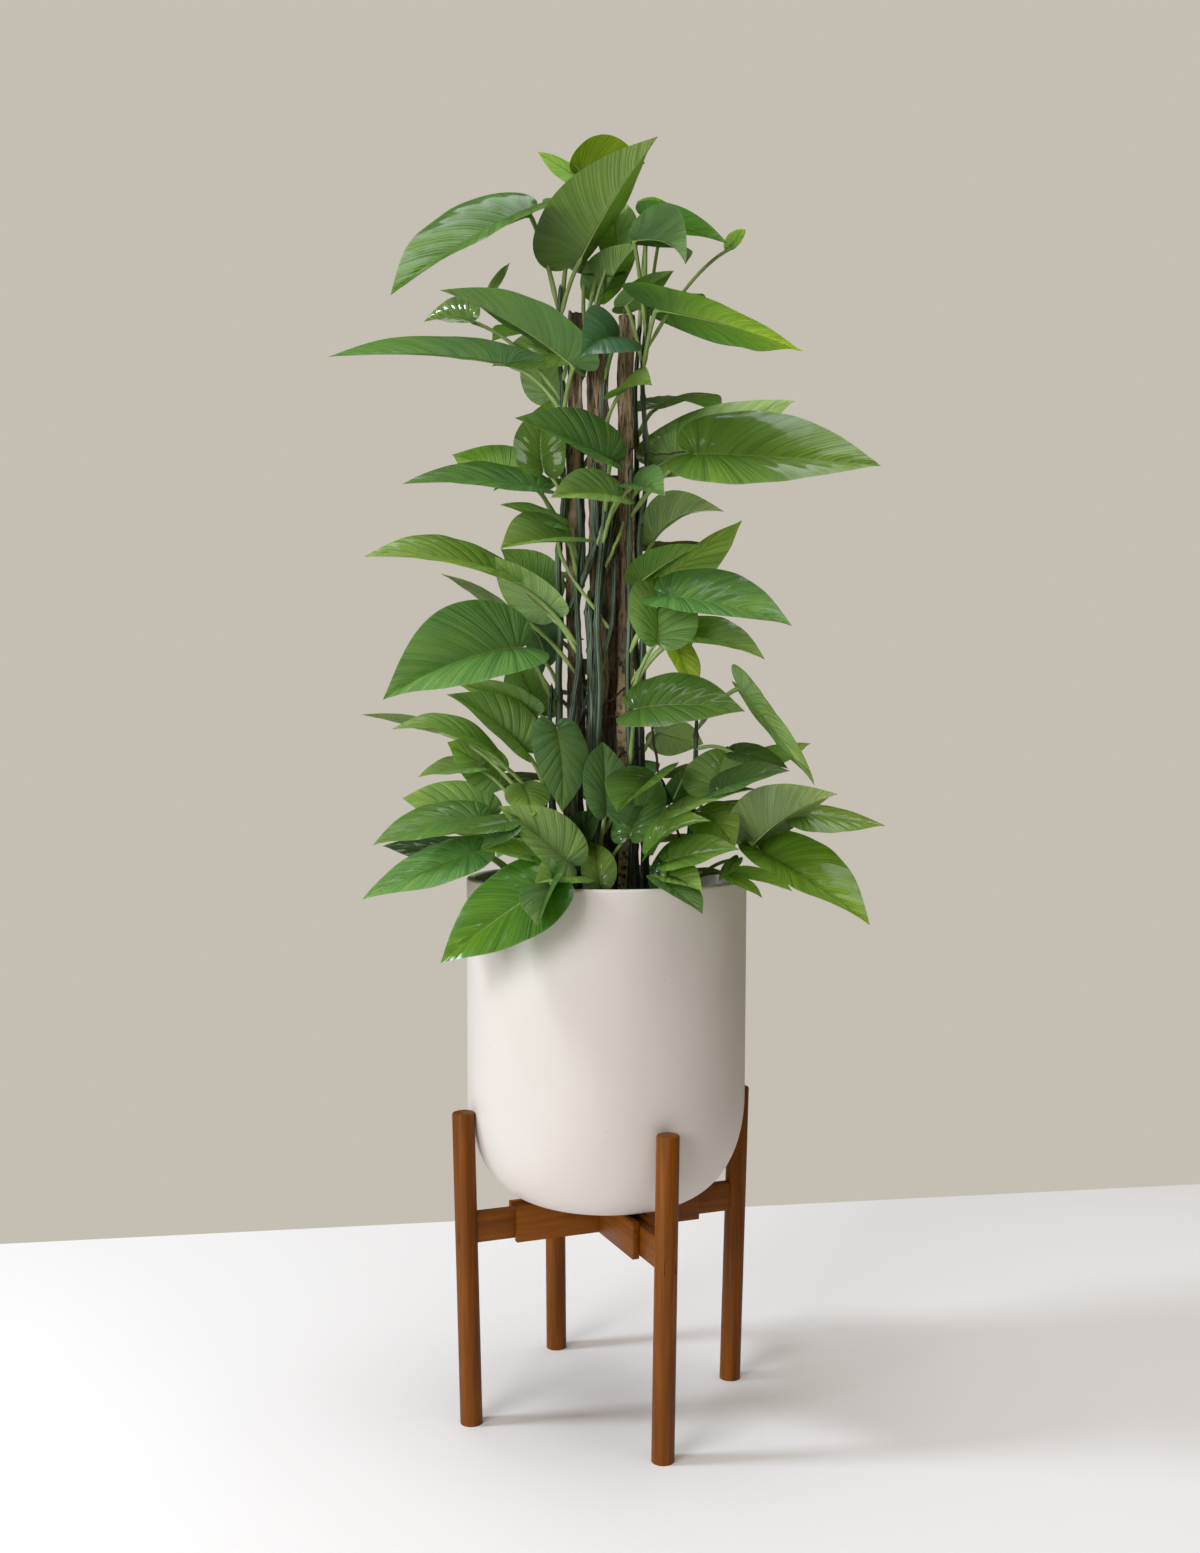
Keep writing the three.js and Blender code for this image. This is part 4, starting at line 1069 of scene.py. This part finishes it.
def slat(name, sizes, material):
    """A rough slat: its faces and edges wander, its fibres stand out and its top is broken off."""
    cx, cy, width, thick, top = sizes
    piece = Piece()

    def place(u, v):
        angle = 2 * pi * u
        z = SLAT["foot"] + (top - SLAT["foot"]) * min(1.0, v / 0.99)
        x, y = (
            abs(part) ** SLAT["squareness"] * (1 if part > 0 else -1) * full / 2
            for part, full in ((cos(angle), width), (sin(angle), thick))
        )
        clean = SOIL["z"] + SLAT["clean_above_soil"]
        rough = min(1, max(0, (z - clean) / SLAT["rough_after"]))
        wander = sin(z * 0.021 + cx) * 1.2 + sin(z * 0.083 + cx * 2) * 0.5
        groove = sin(x * 1.1 + z * 0.035 + cx) * 0.6 + sin(z * 0.19 + x + cx) * 0.4
        fibre = noise.noise(Vector((x * 0.9, y * 0.9, z * 0.06 + cx))) * 1.5
        chip = noise.noise(Vector((x * 0.3, y * 0.3, z * 0.11 + cx))) * 1.3
        swell = 1 + (fibre + chip - 0.6) * rough * 2 / (width + thick)
        jag = sin(x * 0.9 + cx) * 4 - 4 + fibre * 2 if z > top - 1 else 0
        if v > 0.995:
            return seat(cx + wander * rough, cy, top - 5)
        lift = (groove * rough if y > 0 else -groove * rough) * 0.6
        return seat(cx + x * swell + wander * rough, cy + y * swell + lift, z + jag)

    verts = piece.sheet(SLAT["sides"], SLAT["rows"], place)
    weld(piece.mesh, verts)
    bottom_edges = [edge for edge in piece.mesh.edges if edge.is_boundary]
    bmesh.ops.holes_fill(piece.mesh, edges=bottom_edges, sides=0)
    piece.finish(f"{name}_rough", [material], [name], "bark")


# The wooden stand: its CAD pieces with eased edges
def eased(node, form, ease, material, body):
    """A merged copy of a CAD piece, its sharp edges eased by so many millimetres."""
    mesh = bmesh.new()
    mesh.from_mesh(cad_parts[node].data)
    weld(mesh, mesh.verts)
    bmesh.ops.dissolve_limit(mesh, angle_limit=radians(1), verts=mesh.verts, edges=mesh.edges)
    if ease:
        sharp = [e for e in mesh.edges if e.is_manifold and e.calc_face_angle() > SHARP]
        bmesh.ops.bevel(
            mesh, geom=sharp, offset=ease * MM, segments=2, profile=0.5, affect="EDGES",
            material=-1, clamp_overlap=True,
        )
    for face in mesh.faces:
        face.smooth = True
    for edge in mesh.edges:
        edge.smooth = not edge.is_manifold or edge.calc_face_angle() < ROUND
    settle(f"{node}_{form}", mesh, [material], [node], body)


def stand():
    upright = wood_material("stained wood, upright grain")
    for arm, azimuth in ARMS.items():
        along = wood_material(f"stained wood along the {arm} arm", azimuth)
        eased(f"leg_{arm}", "round", 0, upright, f"arm_{arm}")
        eased(f"tongue_{arm}", "eased", 0.5, along, f"arm_{arm}")
    for bar, arm in BARS.items():
        along = wood_material(f"stained wood along the {bar} bar", ARMS[arm])
        for side in ("a", "b"):
            eased(f"cheek_{bar}_{side}", "eased", 0.6, along, "planter")


# The studio
def camera():
    forward = Vector((sin(YAW) * cos(PITCH), cos(YAW) * cos(PITCH), -sin(PITCH)))
    level = Vector((cos(YAW), -sin(YAW), 0))
    upright = level.cross(forward)
    right = level * cos(ROLL) + upright * sin(ROLL)
    top = upright * cos(ROLL) - level * sin(ROLL)
    data = bpy.data.cameras.new("camera")
    data.sensor_width = PHOTO["sensor"]
    data.lens = PHOTO["focal"] * PHOTO["sensor"] / PHOTO["height"]
    eye = placed("camera", data)
    turn = Matrix((right, top, -forward)).transposed().to_4x4()
    eye.matrix_world = Matrix.Translation(seat(*EYE)) @ turn
    bpy.context.scene.camera = eye


def softbox(name, place, target, size, power, colour):
    data = bpy.data.lights.new(name, "AREA")
    data.shape = "RECTANGLE"
    data.size, data.size_y = size
    data.energy = power
    data.color = colour
    lamp = placed(name, data)
    lamp.location = place
    lamp.rotation_euler = (Vector(target) - Vector(place)).to_track_quat("-Z", "Y").to_euler()


def floor():
    """A pale sheet under the object, part of the stage only."""
    mesh = bmesh.new()
    bmesh.ops.create_grid(mesh, x_segments=1, y_segments=1, size=1.0)
    for vert in mesh.verts:
        y = FLOOR["far"] if vert.co.y > 0 else FLOOR["near"]
        vert.co = Vector((vert.co.x * FLOOR["half"], y, 0))
    turn = Matrix.Rotation(FLOOR["turn"], 3, "Z")
    bmesh.ops.rotate(mesh, verts=mesh.verts, matrix=turn)
    bmesh.ops.translate(mesh, verts=mesh.verts, vec=POT_AXIS)
    material, tree, shader = new_material("pale floor")
    base = colour_mix(clouds(object_place(tree), 3.0), paint("floor"), paint("light floor"))
    feed(shader, {"Base Color": base, "Roughness": 0.8})
    ground = built("floor", mesh, [material])
    ground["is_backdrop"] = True


def surroundings():
    """A plain warm grey seen behind the object, and a dim warm fill where it only lights it."""
    world = bpy.data.worlds.new("plain backdrop")
    world.use_nodes = True
    tree = world.node_tree
    both = {0: add(tree, "ShaderNodeLightPath", {}).outputs["Is Camera Ray"]}
    for place, name, strength in ((1, "warm fill", 0.1), (2, "wall", 1.0)):
        inputs = {"Color": paint(name), "Strength": strength}
        both[place] = add(tree, "ShaderNodeBackground", inputs).outputs[0]
    feed(tree.nodes["World Output"], {"Surface": derived("ShaderNodeMixShader", both)})
    bpy.context.scene.world = world


def studio():
    camera()
    floor()
    surroundings()
    for name, values in LAMPS.items():
        softbox(name, *values)


planter()
soil()
for slat_name, (slat_sizes, slat_crust) in SLATS.items():
    slat(slat_name, slat_sizes, bark_material(f"bark of {slat_name}", slat_crust))
plant()
stand()
studio()
bpy.context.scene.view_settings.view_transform = "Standard"

boxes = {"cad": CAD_BOX, "visual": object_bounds()}
{name: [list(corner) for corner in box] for name, box in boxes.items()}
